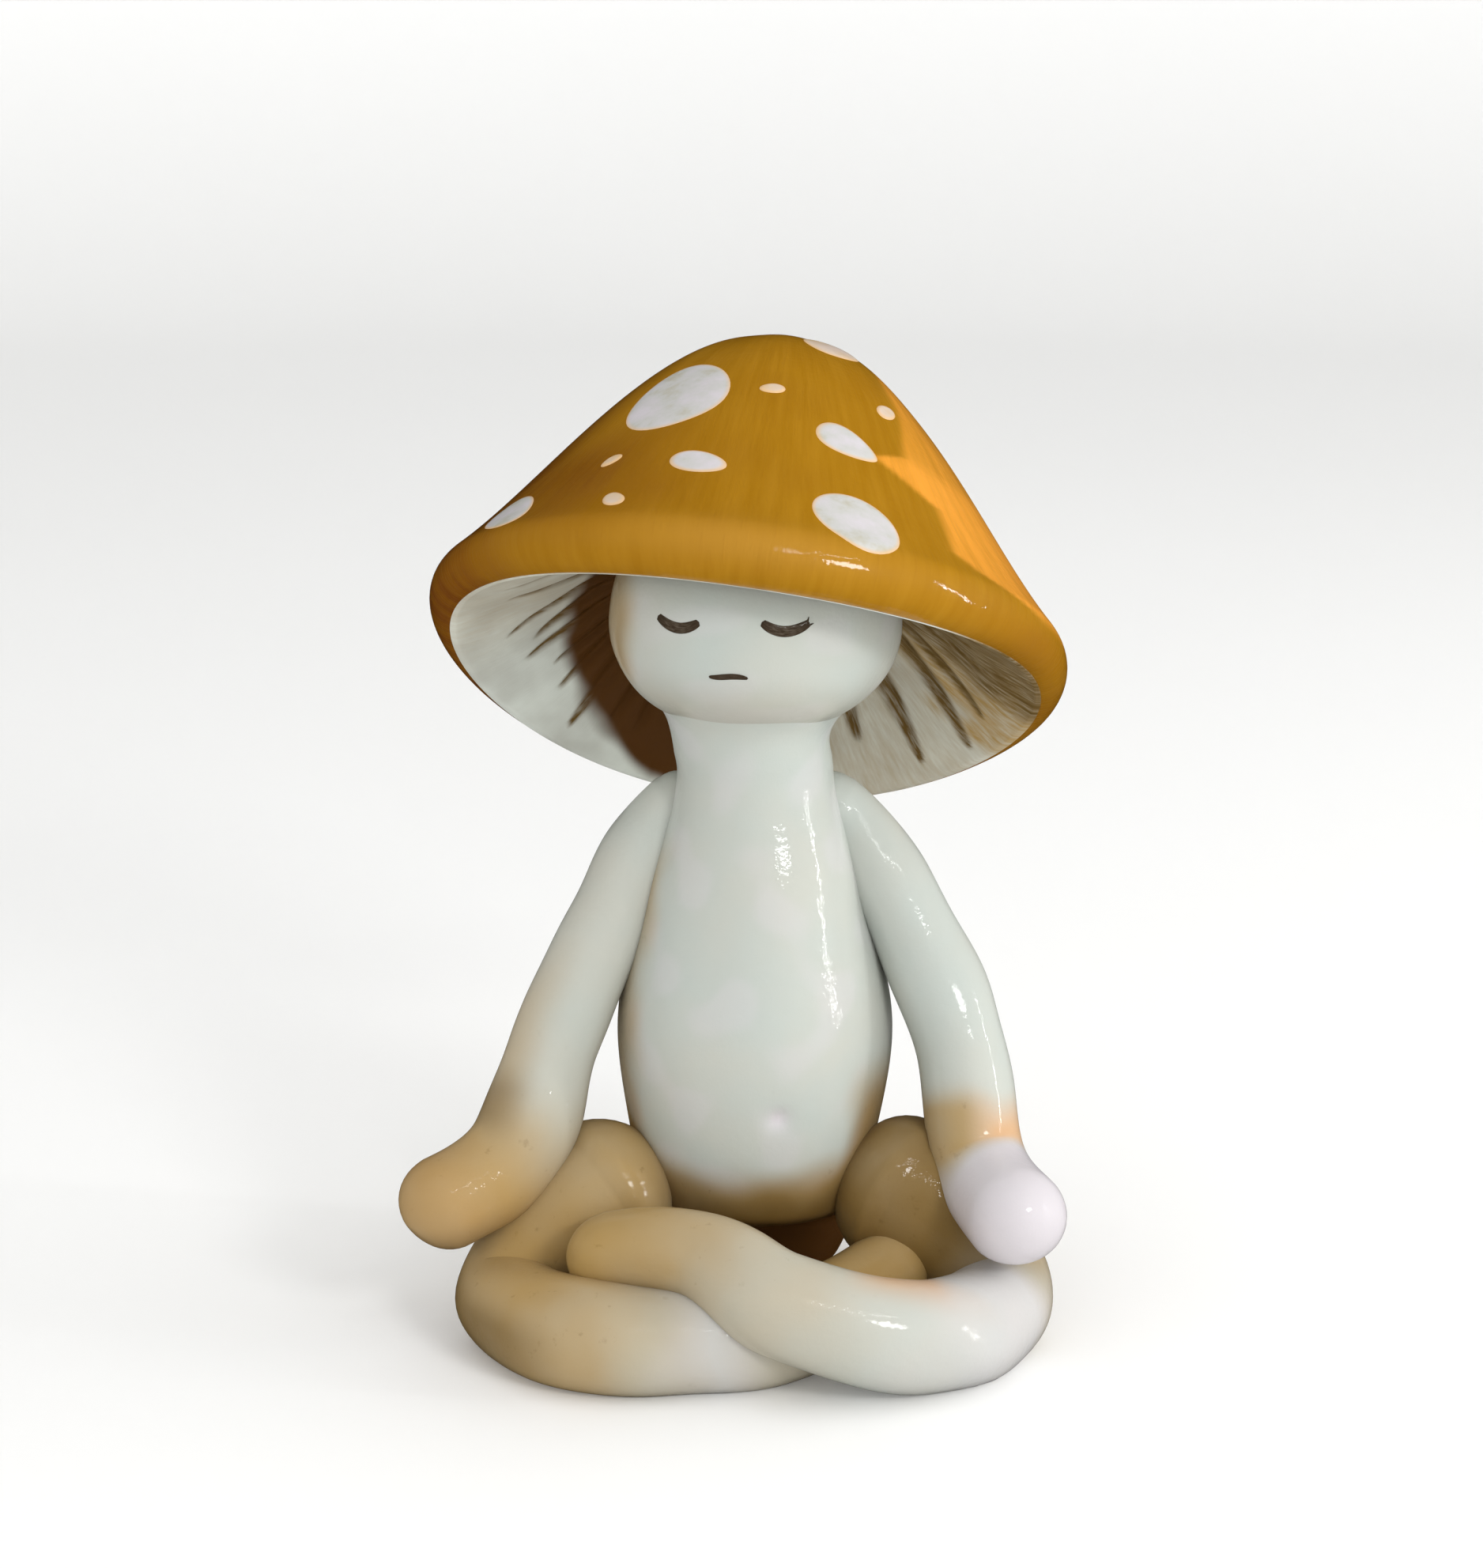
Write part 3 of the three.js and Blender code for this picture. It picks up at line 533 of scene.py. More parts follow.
def torso_outline():
    """Radius and height from the seat to the neck, rounded round the seat."""
    outline = smooth_curve(
        [
            (SEAT_RADIUS, 0),
            (HIP_RADIUS, HIP_HEIGHT),
            (BELLY_RADIUS, BELLY_HEIGHT),
            (CHEST_RADIUS, CHEST_HEIGHT),
            (NECK_RADIUS, NECK_HEIGHT),
            (NECK_RADIUS + NECK_FLARE, TORSO_HEIGHT),
        ],
        60,
        centripetal=False,
    )
    radius, height = outline.T
    lift = np.clip(1 - height / SEAT_ROUND, 0, 1)
    radius = radius - SEAT_ROUND * (1 - np.sqrt(1 - lift**2))
    return np.stack([radius, height], axis=-1)


def with_fillet(outline):
    """The outline with its neck smoothed onto the underside of the head."""
    below = outline[outline[:, 1] < FILLET_LOW]
    share = np.linspace(0, 1, 40)
    radius = below[-1, 0] + (FILLET_RADIUS - below[-1, 0]) * share**3
    fillet = np.stack([radius, FILLET_LOW + (FILLET_HIGH - FILLET_LOW) * share], axis=-1)
    return np.concatenate([below, fillet, [(FILLET_RADIUS - 1, FILLET_HIGH + 0.6)]])


OUTLINE = torso_outline()


def torso_radius(height):
    return float(np.interp(height, OUTLINE[:, 1], OUTLINE[:, 0]))


def torso_back(facing, height):
    """How far back a point of the torso is moved, by how much it faces the front and by its height."""
    under = SEAT_BACK * (1 - ease(UNDERCUT_LOW, UNDERCUT_HIGH, height))
    behind = SEAT_BULGE * (1 - ease(0, BELLY_HEIGHT, height))
    return behind + (under - behind) * facing


def make_torso(sides=144, rows=170):
    outline = with_fillet(OUTLINE)
    outline = at_lengths(outline, np.linspace(0, lengths_along(outline)[-1], rows))
    turn = np.linspace(0, 2 * math.pi, sides, endpoint=False)
    radius, height = outline[:, :1], np.repeat(outline[:, 1:], sides, axis=1)
    rings = round_points(radius, turn, height)
    out = unit(rings * (1, 1, 0))
    uneven = LUMP_HEIGHT * lumps(rings, LUMP_SIZE * 1.6, 1) * ease(0, 5, height) * (1 - ease(55, 62, height))
    from_navel = np.hypot(
        (turn - math.radians(NAVEL_TURN) + math.pi) % (2 * math.pi) - math.pi,
        (height - NAVEL_HEIGHT) / BELLY_RADIUS,
    )
    dimple = np.exp(-((from_navel * BELLY_RADIUS / NAVEL_RADIUS) ** 2))
    rings += out * (uneven - NAVEL_DEPTH * dimple)[..., None]
    facing = np.broadcast_to((1 + np.cos(turn)) / 2, height.shape)
    rings[..., 1] += torso_back(facing, height)
    leaning = (rings - HEAD_MIDDLE) @ turned("Y", HEAD_LEAN).T + HEAD_MIDDLE
    rings += (leaning - rings) * ease(57, 62, height)[..., None]
    ragged = lumps(rings, 7, 2)

    # Tan round the seat, higher at the sides and softer at the back, partly painted warm shade, and painted
    # shade in brown under the belly
    # Painted shade: dark brown at the front of the seat, tan down the figure's right edge, and tan and brown
    # low on the belly's left where the thigh shades it
    front = ease(0.3, 0.7, facing)
    soft = 4 * (1 - front)
    tan_line = height + (0.3 + 0.2 * soft) * ragged - 9 * np.minimum(1 - facing, 0.5)
    low = 1 - ease(14.8 - soft, 19.4 + soft, tan_line)
    under_belly = (1 - ease(12.5, 20, height + 0.5 * ragged)) * (0.3 + 0.7 * front)
    right_side = ease(0.78, 0.97, -out[..., 0] + 0.03 * ragged) * (1 - ease(46, 52, height))
    left_side = ease(0.62, 0.9, out[..., 0] + 0.04 * ragged) * (1 - ease(23, 30, height))
    paints = {
        "tan_and_shade": np.clip(low + 0.6 * right_side + left_side, 0, 1),
        "umber": np.clip(under_belly + 0.35 * left_side, 0, 1),
        "deep": (1 - ease(9, 14, height)) * front,
        "lilac": np.clip(0.9 * dimple + 0.25 * ease(0, 1, ragged), 0, 1),
    }
    bottom, top = (0, (SEAT_BACK + SEAT_BULGE) / 2, 0), (0, 0, FILLET_HIGH + 0.6)
    points, faces = skin(rings, bottom, top)
    paints = {name: over_skin(values, values[0].mean(), 0) for name, values in paints.items()}
    make_piece("torso_clay", points, faces, ["torso"], BODY, paints)


# Head and face

HEAD_AXES = turned("Y", HEAD_LEAN) @ turned("Z", HEAD_TURN)


def head_to_figure(points):
    return points @ HEAD_AXES.T + HEAD_MIDDLE


def make_head(sides=128, rows=96):
    lift = np.linspace(-math.pi / 2, math.pi / 2, rows + 2)[1:-1, None]
    turn = np.linspace(0, 2 * math.pi, sides, endpoint=False)
    power = 2 / HEAD_SQUARENESS
    across = HEAD_RADIUS * np.cos(lift) ** power
    up = HEAD_HALF_HEIGHT * np.sign(lift) * np.abs(np.sin(lift)) ** power
    rings = round_points(across, turn, up)
    figure = head_to_figure(rings)
    facing = unit(rings / (HEAD_RADIUS, HEAD_RADIUS, HEAD_HALF_HEIGHT))
    calm = 1 - ease(0.5, 0.9, -facing[..., 1])
    figure += (facing @ HEAD_AXES.T) * (0.7 * LUMP_HEIGHT * calm * lumps(rings, LUMP_SIZE, 5))[..., None]
    ragged = lumps(rings, 6, 6)
    # Painted shade: tan and brown down the head's right side, less towards the back, and a little under the
    # chin
    side = ease(0.64, 0.86, -facing[..., 0] + 0.03 * ragged)
    chin = ease(0.25, 0.75, -facing[..., 2])
    paints = {
        "tan_and_shade": np.clip(0.8 * side + 0.15 * chin, 0, 1),
        "umber": 0.45 * ease(0.68, 0.9, -facing[..., 0] - 0.3 * np.maximum(facing[..., 1], 0)) + 0.12 * chin,
        "lilac": 0.2 * ease(0.2, 1, ragged),
    }
    ends = head_to_figure(np.array([[0, 0, -HEAD_HALF_HEIGHT], [0, 0, HEAD_HALF_HEIGHT]]))
    points, faces = skin(figure, *ends)
    paints = {name: over_skin(values) for name, values in paints.items()}
    make_piece("head_clay", points, faces, ["head"], BODY, paints)


def face_point(across, up):
    """A point of the face at a width and a height, on the head's surface."""
    rim = (1 - np.abs(up / HEAD_HALF_HEIGHT) ** HEAD_SQUARENESS) ** (1 / HEAD_SQUARENESS)
    return np.stack([across, -np.sqrt((HEAD_RADIUS * rim) ** 2 - across**2), up], axis=-1)


def face_stroke(across, up, half_width, sides=16):
    """Points and faces of a flat stroke of paint along a line on the face, and its paints."""
    line = face_point(across, up)
    along = unit(np.gradient(line, axis=0))
    out = unit(line * (1, 1, (HEAD_RADIUS / HEAD_HALF_HEIGHT) ** 2))
    cross = unit(np.cross(along, out))
    turn = np.linspace(0, 2 * math.pi, sides, endpoint=False)[:, None]
    wide = half_width[1:-1, None, None] * np.cos(turn) * cross[1:-1, None]
    high = STROKE_PROUD * np.sin(turn) * out[1:-1, None]
    rings = line[1:-1, None] + wide + high
    points, faces = skin(head_to_figure(rings), *head_to_figure(line[[0, -1]]))
    lengths = np.repeat(lengths_along(line)[1:-1, None], sides, axis=1)
    widths = half_width[1:-1, None] * np.cos(turn[:, 0])
    brush = np.stack([0.35 * lengths, 2 * widths, 0 * widths], axis=-1)
    thin = 1 - np.abs(2 * lengths / lengths.max() - 1) ** 2
    ends = np.zeros((2, 3))
    return points, faces, {"brush": np.concatenate([brush.reshape(-1, 3), ends]), "thin": over_skin(thin)}


def joined(strokes):
    """Several strokes as one mesh."""
    points, faces, paints = [], [], {}
    for stroke_points, stroke_faces, stroke_paints in strokes:
        start = sum(len(part) for part in points)
        faces += [tuple(corner + start for corner in face) for face in stroke_faces]
        points.append(stroke_points)
        for name, values in stroke_paints.items():
            paints.setdefault(name, []).append(values)
    return np.concatenate(points), faces, {name: np.concatenate(values) for name, values in paints.items()}


def make_face(steps=40):
    share = np.linspace(-1, 1, steps)
    swell = np.sqrt(np.clip(1 - np.abs(share) ** 2.4, 0, 1))
    eyes = {"right_eye": (-EYE_SPACING / 2, EYE_RISE - EYE_UNEVEN), "left_eye": (EYE_SPACING / 2, EYE_RISE)}
    for name, (middle, rise) in eyes.items():
        width = EYE_HALF_WIDTH * (0.55 + 0.6 * swell)
        lid = rise - EYE_SAG * (1 - share**2)
        strokes = [face_stroke(middle + share * EYE_WIDTH / 2, lid, width)]
        if name == "left_eye":
            corner = middle + EYE_WIDTH / 2
            lash = np.linspace(0, 1, 12)
            fine = 0.17 * (1.1 - lash)
            strokes.append(face_stroke(corner - 0.25 + 0.15 * lash, rise - 0.2 + 0.75 * lash, fine))
            strokes.append(face_stroke(corner - 0.2 + 0.6 * lash, rise - 0.35 + 0.25 * lash, fine))
        points, faces, paints = joined(strokes)
        make_piece(f"{name}_stroke", points, faces, [name], FACE, paints)
    wave = -MOUTH_DROP + 0.12 * np.sin(2.6 * share + 0.5)
    width = MOUTH_HALF_WIDTH * (0.12 + 0.88 * swell)
    points, faces, paints = face_stroke(share * MOUTH_WIDTH / 2, wave, width)
    paints["thin"] *= 0.35
    make_piece("mouth_stroke", points, faces, ["mouth"], FACE, paints)


# Limbs


def coil(points, radii, rows=170, sides=56):
    """Rings of a round-ended coil along a smooth curve, their middles and shares along it, and the curve."""
    path = smooth_curve(points, 60)
    length = lengths_along(path)[-1]
    tip = np.linspace(0, math.pi / 2, 13)[1:-1]
    body = np.linspace(radii[0], length - radii[-1], rows)
    place = body / length * (len(radii) - 1)
    step = np.minimum(place.astype(int), len(radii) - 2)
    blend = ease(0, 1, place - step)
    low, high = np.take(radii, step), np.take(radii, step + 1)
    along = np.concatenate([radii[0] * (1 - np.cos(tip)), body, length - radii[-1] * (1 - np.cos(tip[::-1]))])
    body_radius = low + (high - low) * blend
    radius = np.concatenate([radii[0] * np.sin(tip), body_radius, radii[-1] * np.sin(tip[::-1])])
    middle = at_lengths(path, along)
    ahead = unit(np.gradient(middle, axis=0))
    across = unit(np.cross(ahead[0], (0.3, 0.2, 1)))
    turn = np.linspace(0, 2 * math.pi, sides, endpoint=False)[:, None]
    rings = []
    for spot, direction, size in zip(middle, ahead, radius):
        across = unit(across - direction * (across @ direction))
        rings.append(spot + size * (np.cos(turn) * across + np.sin(turn) * np.cross(direction, across)))
    return np.array(rings), middle, np.repeat((along / length)[:, None], sides, axis=1), path


def make_limb(name, points, radii, seed, paint_of):
    """A limb of clay, with paints from a function of the share along it and its outward directions."""
    rings, middle, share, path = coil(points, radii)
    out = unit(rings - middle[:, None])
    rings += out * (LUMP_HEIGHT * lumps(rings, LUMP_SIZE, seed))[..., None]
    rings[..., 2] = np.maximum(rings[..., 2], 0)
    ragged = lumps(rings, 8, seed + 50)
    paints = {}
    for key, values in paint_of(np.clip(share + 0.012 * ragged, 0, 1), out).items():
        paints[key] = over_skin(np.clip(values, 0, 1), values[0].mean(), values[-1].mean())
    mesh_points, faces = skin(rings, path[0], path[-1])
    make_piece(f"{name}_clay", mesh_points, faces, [name], BODY, paints)


def lying(radius):
    return radius - WORKTOP_FLAT


CROSSING = lying(SHIN_RADIUS) + SHIN_RADIUS
LEG_RADII = (THIGH_RADIUS, KNEE_RADIUS, KNEE_RADIUS, SHIN_RADIUS, FOOT_RADIUS)
ARM_RADII = (SHOULDER_RADIUS, ELBOW_RADIUS, ELBOW_RADIUS, WRIST_RADIUS, HAND_RADIUS)
LEFT_ARM_RADII = (SHOULDER_RADIUS, ELBOW_RADIUS, ELBOW_RADIUS + 0.4, WRIST_RADIUS, HAND_RADIUS)


def leg_points(side, lower):
    hip = torso_radius(HIP_JOINT_HEIGHT)
    return [
        (side * (hip - THIGH_IN), -HIP_JOINT_FORWARD, HIP_JOINT_HEIGHT),
        (side * (hip + THIGH_OUT), -HIP_JOINT_FORWARD - THIGH_FORWARD, HIP_JOINT_HEIGHT - THIGH_DROP),
        (side * KNEE_SPREAD, -KNEE_FORWARD, lying(KNEE_RADIUS)),
        *lower,
    ]


RIGHT_LEG = leg_points(
    -1,
    [
        (8 - KNEE_SPREAD, 1 - SHIN_FORWARD, lying(KNEE_RADIUS)),
        (0, 1.5 - SHIN_FORWARD, lying(SHIN_RADIUS)),
        (FOOT_SPREAD / 2, 7.5 - SHIN_FORWARD, lying(SHIN_RADIUS) + 1),
        (FOOT_SPREAD, 15 - SHIN_FORWARD, lying(FOOT_RADIUS) + 5.2),
    ],
)
LEFT_LEG = leg_points(
    1,
    [
        (KNEE_SPREAD - 7.5, -SHIN_FORWARD, lying(KNEE_RADIUS)),
        (2.5, -2 - SHIN_FORWARD, CROSSING),
        (-FOOT_SPREAD / 3, 3.5 - SHIN_FORWARD, CROSSING + 2.7),
        (-FOOT_SPREAD - 2.2, 6.5 - SHIN_FORWARD, CROSSING + 1.8),
    ],
)


def arm_points(side, bow, wrist_out, wrist_rise, hand_turn, hand_dip, hand_length):
    shoulder = torso_radius(SHOULDER_HEIGHT)
    start = np.array([side * (shoulder + ARM_OUT), ARM_BACK, SHOULDER_HEIGHT - ARM_DROP])
    wrist_height = lying(KNEE_RADIUS) + KNEE_RADIUS + WRIST_RADIUS + wrist_rise
    wrist = np.array([side * (KNEE_SPREAD - WRIST_IN + wrist_out), WRIST_IN - KNEE_FORWARD, wrist_height])
    heading = math.radians(hand_turn)
    away = unit(np.array([side * math.sin(heading), -math.cos(heading), -hand_dip]))
    points = [(side * (shoulder - SHOULDER_RADIUS), ARM_BACK, SHOULDER_HEIGHT + ARM_DROP)]
    for share in (0, 0.3, 0.65):
        out = np.array([side * bow * math.sin(math.pi * share), 0, 0])
        points.append(start + (wrist - start) * share + out)
    return [*points, wrist, wrist + away * hand_length]


RIGHT_ARM = arm_points(-1, 0.9, 1.9, 3.1, 67, 0.48, 12.6)
LEFT_ARM = arm_points(1, 3, 0, 2.6, 20, 0.25, 14)


def right_leg_paint(share, out):
    # Tan along the leg, partly painted warm shade, and brown that is painted shade, most underneath, at the
    # back and on the outer side of the thigh and knee
    low = ease(-0.2, -0.9, out[..., 2])
    inner = ease(0.2, 0.9, out[..., 1])
    edge = ease(0.3, 0.9, -out[..., 0]) * (1 - ease(0.1, 0.7, out[..., 2])) * (1 - ease(0.5, 0.6, share))
    return {
        "tan_and_shade": stops(
            share, (0, 1), (0.3, 0.95), (0.5, 0.85), (0.57, 0.55), (0.64, 0.08), (0.72, 0.3), (0.85, 0.95)
        ),
        "umber": stops(share, (0, 0.6), (0.12, 0.3), (0.3, 0.15), (0.5, 0.05), (0.7, 0.1), (0.9, 0.45))
        * (0.35 + 0.4 * low + 0.3 * inner)
        + 0.65 * edge,
        "lilac": 0.4 * ease(0.55, 0.63, share) * (1 - ease(0.66, 0.72, share)),
    }


def left_leg_paint(share, out):
    # Tan at the thigh and foot, partly painted warm shade; brown on the thigh that is painted shade, most at
    # its back; peach that is painted warm shade along the crease where the shin meets the other foot
    inner = ease(0.1, 0.9, out[..., 1])
    crease = ease(-0.7, 0.1, out[..., 1]) * ease(0, 0.4, out[..., 2])
    crease = crease * ease(0.44, 0.5, share) * (1 - ease(0.56, 0.64, share))
    return {
        "tan_and_shade": stops(
            share, (0, 1), (0.18, 1), (0.28, 0.55), (0.36, 0.04), (0.56, 0.04), (0.7, 0.4), (0.85, 0.95)
        ),
        "umber": stops(share, (0, 1), (0.18, 0.95), (0.3, 0.25), (0.36, 0), (0.8, 0), (1, 0.25))
        * (0.7 + 0.3 * inner),
        "peach": 0.65 * crease,
        "lilac": 0.55 * ease(0.28, 0.36, share) * (1 - ease(0.4, 0.6, share)),
    }


def right_arm_paint(share, out):
    # Tan towards the hand, most on the outer side, partly painted warm shade; brown under the hand that is
    # painted shade, and a brown patch on the wrist's outer side
    outer = ease(-0.1, 0.8, -out[..., 0])
    under = ease(0, 0.9, -out[..., 2])
    band = ease(0.58, 0.67, share) * (1 - ease(0.72, 0.82, share))
    return {
        "tan_and_shade": stops(share, (0, 0), (0.35, 0.1), (0.55, 0.45), (0.7, 0.8), (0.82, 0.95), (1, 0.95))
        * (1 - 0.75 * (1 - outer) * (1 - ease(0.6, 0.8, share))),
        "umber": 0.5 * band * outer + (0.12 + 0.45 * under) * ease(0.75, 0.95, share),
        "peach": 0.18 * ease(0.75, 0.95, share),
    }


def left_arm_paint(share, out):
    outer = ease(-0.2, 0.7, out[..., 0] + 0.4 * out[..., 2])
    band = ease(0.57, 0.67, share - 0.05 * outer) * (1 - ease(0.73, 0.83, share))
    return {
        "tan_and_shade": band * (0.9 - 0.7 * outer),
        "peach": 0.75 * band * outer,
        "lilac": ease(0.72, 0.86, share),
    }


def make_limbs():
    make_limb("right_leg", RIGHT_LEG, LEG_RADII, 11, right_leg_paint)
    make_limb("left_leg", LEFT_LEG, LEG_RADII, 12, left_leg_paint)
    make_limb("right_arm", RIGHT_ARM, ARM_RADII, 13, right_arm_paint)
    make_limb("left_arm", LEFT_ARM, LEFT_ARM_RADII, 14, left_arm_paint)


# Cap, in a frame at the middle of its rim

CAP_AXES = turned("Y", CAP_LEAN) @ turned("X", -CAP_TILT)
CAP_PLACE = HEAD_MIDDLE - CAP_AXES @ np.array([0, -HEAD_FORWARD_IN_CAP, HEAD_RISE_IN_CAP])
LIP_MIDDLE = CAP_RADIUS - CAP_LIP_RADIUS
FLARE_ANGLE = math.atan2(CAP_FLARE_IN, CAP_FLARE_UP)


def bell(rim, base, crown, top, steps=160):
    return bezier((rim, base), (rim - CAP_FLARE_IN, base + CAP_FLARE_UP), (crown, top), (0, top), steps)


def underside(drop, steps):
    """Radius and height of the shallow underside from the lip to the middle, where it is dropped."""
    top = HOLLOW_HEIGHT - drop
    flare = (LIP_MIDDLE - HOLLOW_FLARE_IN, HOLLOW_FLARE_UP - drop / 2)
    curve = bezier((LIP_MIDDLE, 0), flare, (HOLLOW_CROWN, top), (0, top), 200)
    return at_lengths(curve, np.linspace(0, lengths_along(curve)[-1], steps))


def cap_side():
    """Radius and height from the bottom of the lip up to the crown, evenly spread."""
    lip = arc((LIP_MIDDLE, CAP_LIP_RADIUS), CAP_LIP_RADIUS, -math.pi / 2, FLARE_ANGLE, 40)
    side = np.concatenate([lip[:-1], bell(*lip[-1], CAP_CROWN, CAP_HEIGHT)])
    return at_lengths(side, np.linspace(0, lengths_along(side)[-1], 400))


CAP_SIDE = cap_side()
CAP_SIDE_LENGTH = lengths_along(CAP_SIDE)[-1]
CAP_SIDE_SLOPE = unit(np.gradient(CAP_SIDE, axis=0))


def drooped(points):
    """Lets the rim hang at the front and back, most over the face, and less and less towards the crown."""
    fade = np.clip(1 - points[..., 2] / CAP_HEIGHT, 0, 1) ** 2
    turn = np.arctan2(points[..., 0], -points[..., 1])
    brow = ((1 + np.cos(turn - math.radians(CAP_BROW_TURN))) / 2) ** 2
    sag = fade * (CAP_DROOP * np.cos(2 * turn) + CAP_BROW * brow)
    return points - sag[..., None] * (0, 0, 1)


def cap_to_figure(points):
    return drooped(points) @ CAP_AXES.T + CAP_PLACE


def cap_uneven(turn, share):
    """How far the cap's surface rises and falls where it was shaped by hand."""
    waves = 0.5 * np.sin(3 * turn + 0.7) + 0.35 * np.sin(5 * turn + 2.1 + 3 * share)
    waves = waves + 0.3 * np.sin(8 * turn - 5 * share)
    return 0.32 * waves * np.sin(math.pi * np.clip(share, 0, 1)) ** 0.7


def on_cap(turn, share, height):
    """A point at a height over the cap's outside, by its turn from the front and its share up the side."""
    places = np.linspace(0, 1, len(CAP_SIDE))
    radius, up = (np.interp(share, places, axis) for axis in CAP_SIDE.T)
    inward, rise = (np.interp(share, places, axis) for axis in CAP_SIDE_SLOPE.T)
    height = height + cap_uneven(turn, share)
    radius = radius + rise * height
    return round_points(radius, turn, up - inward * height)


def brush_marks(turn, along):
    """Coordinates in which a brush mark runs up a bell: fine round it and long up it."""
    return np.stack([CAP_RADIUS * np.sin(turn), CAP_RADIUS * np.cos(turn), 0.12 * along], axis=-1)


# The front edge of the cap's orange painted warm reflection: shares up the side, each with a turn from the
# front.
WARM_REFLECTION_EDGE = [
    (0.1, 56),
    (0.12, 48),
    (0.145, 40),
    (0.18, 35),
    (0.3, 37),
    (0.34, 30),
    (0.39, 22),
    (0.42, 32),
    (0.8, 44),
]


def make_cap(sides=224, rows=150):
    turn = np.linspace(0, 2 * math.pi, sides, endpoint=False)
    under = underside(0, 40)[::-1][1:-1]
    under_rings = round_points(under[:, :1], turn, under[:, 1:])
    share = np.repeat(np.linspace(0, 1, rows + 1)[:-1, None], sides, axis=1)
    rings = np.concatenate([under_rings, on_cap(np.broadcast_to(turn, share.shape), share, 0)])
    share = np.concatenate([np.zeros(under_rings.shape[:2]), share])
    round_cap = np.broadcast_to(turn, share.shape)
    ragged = lumps(rings, 9, 21)
    to_left = np.degrees((round_cap + math.pi) % (2 * math.pi) - math.pi)

    # Orange on the left flank that is a painted warm reflection, brown on the right flank and back and low on
    # the left rim that is partly painted shade and partly uneven paint, and a paler lip at the front that is
    # a painted sheen
    from_edge = to_left - stops(share, *WARM_REFLECTION_EDGE)
    warm_reflection = ease(-1.5, 2.5, from_edge + 0.8 * ragged) * (1 - ease(100, 140, to_left))
    strong = ease(0.09, 0.12, share) * (1 - 0.35 * ease(0.38, 0.44, share)) * (1 - ease(0.72, 0.9, share))
    flank = 0.75 * np.exp(-(((to_left + 48) / 28) ** 2)) * np.exp(-(((share - 0.26) / 0.15) ** 2))
    far = ease(40, 72, -to_left) * (1 - ease(120, 170, -to_left)) * (1 - 0.6 * ease(0.3, 0.8, share))
    near_rim = 0.35 * ease(30, 55, to_left) * (1 - ease(100, 140, to_left)) * (1 - ease(0.06, 0.12, share))
    lip = np.exp(-(((share - 0.085) / 0.035) ** 2)) * np.exp(-(((to_left + 4) / 26) ** 2))
    paints = {
        "orange": warm_reflection * strong,
        "brown_and_shade": np.clip(np.maximum(flank, 0.95 * far) + near_rim + 0.06 * ragged, 0, 1),
        "edge": 0.7 * lip,
    }
    ends = np.array([[0, 0, HOLLOW_HEIGHT], [0, 0, CAP_HEIGHT]])
    points, faces = skin(cap_to_figure(rings), *cap_to_figure(ends))
    paints = {name: over_skin(values, values[0].mean(), values[-1].mean()) for name, values in paints.items()}
    brush = brush_marks(round_cap, share * CAP_SIDE_LENGTH)
    paints["brush"] = np.concatenate([brush.reshape(-1, 3), [(0, 0, 0), (0, 0, 0.12 * CAP_SIDE_LENGTH)]])
    make_piece("cap_bell", points, faces, ["cap_shell"], CAP, paints)


def head_distance(points):
    """About how far points of the cap's frame lie from the head."""
    inside = (cap_to_figure(points) - HEAD_MIDDLE) @ HEAD_AXES
    scaled = np.abs(inside / (HEAD_RADIUS, HEAD_RADIUS, HEAD_HALF_HEIGHT))
    across = np.hypot(scaled[..., 0], scaled[..., 1])
    size = (across**HEAD_SQUARENESS + scaled[..., 2] ** HEAD_SQUARENESS) ** (1 / HEAD_SQUARENESS)
    return (size - 1) * HEAD_RADIUS


# Gills: turn round the cap at the root, how far round the tip is from it, share of the way in at the tip,
# and half width. Those of both sides that show from the front come first.
GILLS = [
    (222, -3, 0.05, 0.9),
    (231, -2, 0.14, 0.75),
    (237, 0, 0.2, 0.6),
    (247, -3, 0.14, 0.8),
    (257, -8, 0.2, 0.95),
    (266, -10, 0.13, 0.7),
    (97, 10, 0.08, 0.95),
    (107, 11, 0.02, 1.2),
    (127, 5, 0.04, 1.2),
    (143, 2, 0.18, 1.3),
    *[(turn, 0, 0.08 + 0.05 * (turn % 5 % 3), 0.6) for turn in (156, 168, 180, 192, 204, 211)],
    *[(turn, 0, 0.1 + 0.05 * (turn % 5 % 3), 0.6) for turn in range(-84, 90, 12)],
]


def gill_grooves(turn, share, radius):
    """How deep in a gill each place on the underside is, from 0 to 1."""
    groove = np.zeros(share.shape)
    for root, sway, tip, half_width in GILLS:
        middle = math.radians(root) + math.radians(sway) * np.clip((0.45 - share) / (0.45 - tip), 0, 1)
        offset = ((turn - middle + math.pi) % (2 * math.pi) - math.pi) * radius
        width = half_width * np.sqrt(np.clip((share - tip) / 0.25, 1e-3, 1)) * np.clip(radius / 12, 0.1, 1)
        groove = np.maximum(groove, np.exp(-((offset / width) ** 2)) * ease(0, 0.05, share - tip))
    return groove * (1 - ease(0.75, 0.95, share))


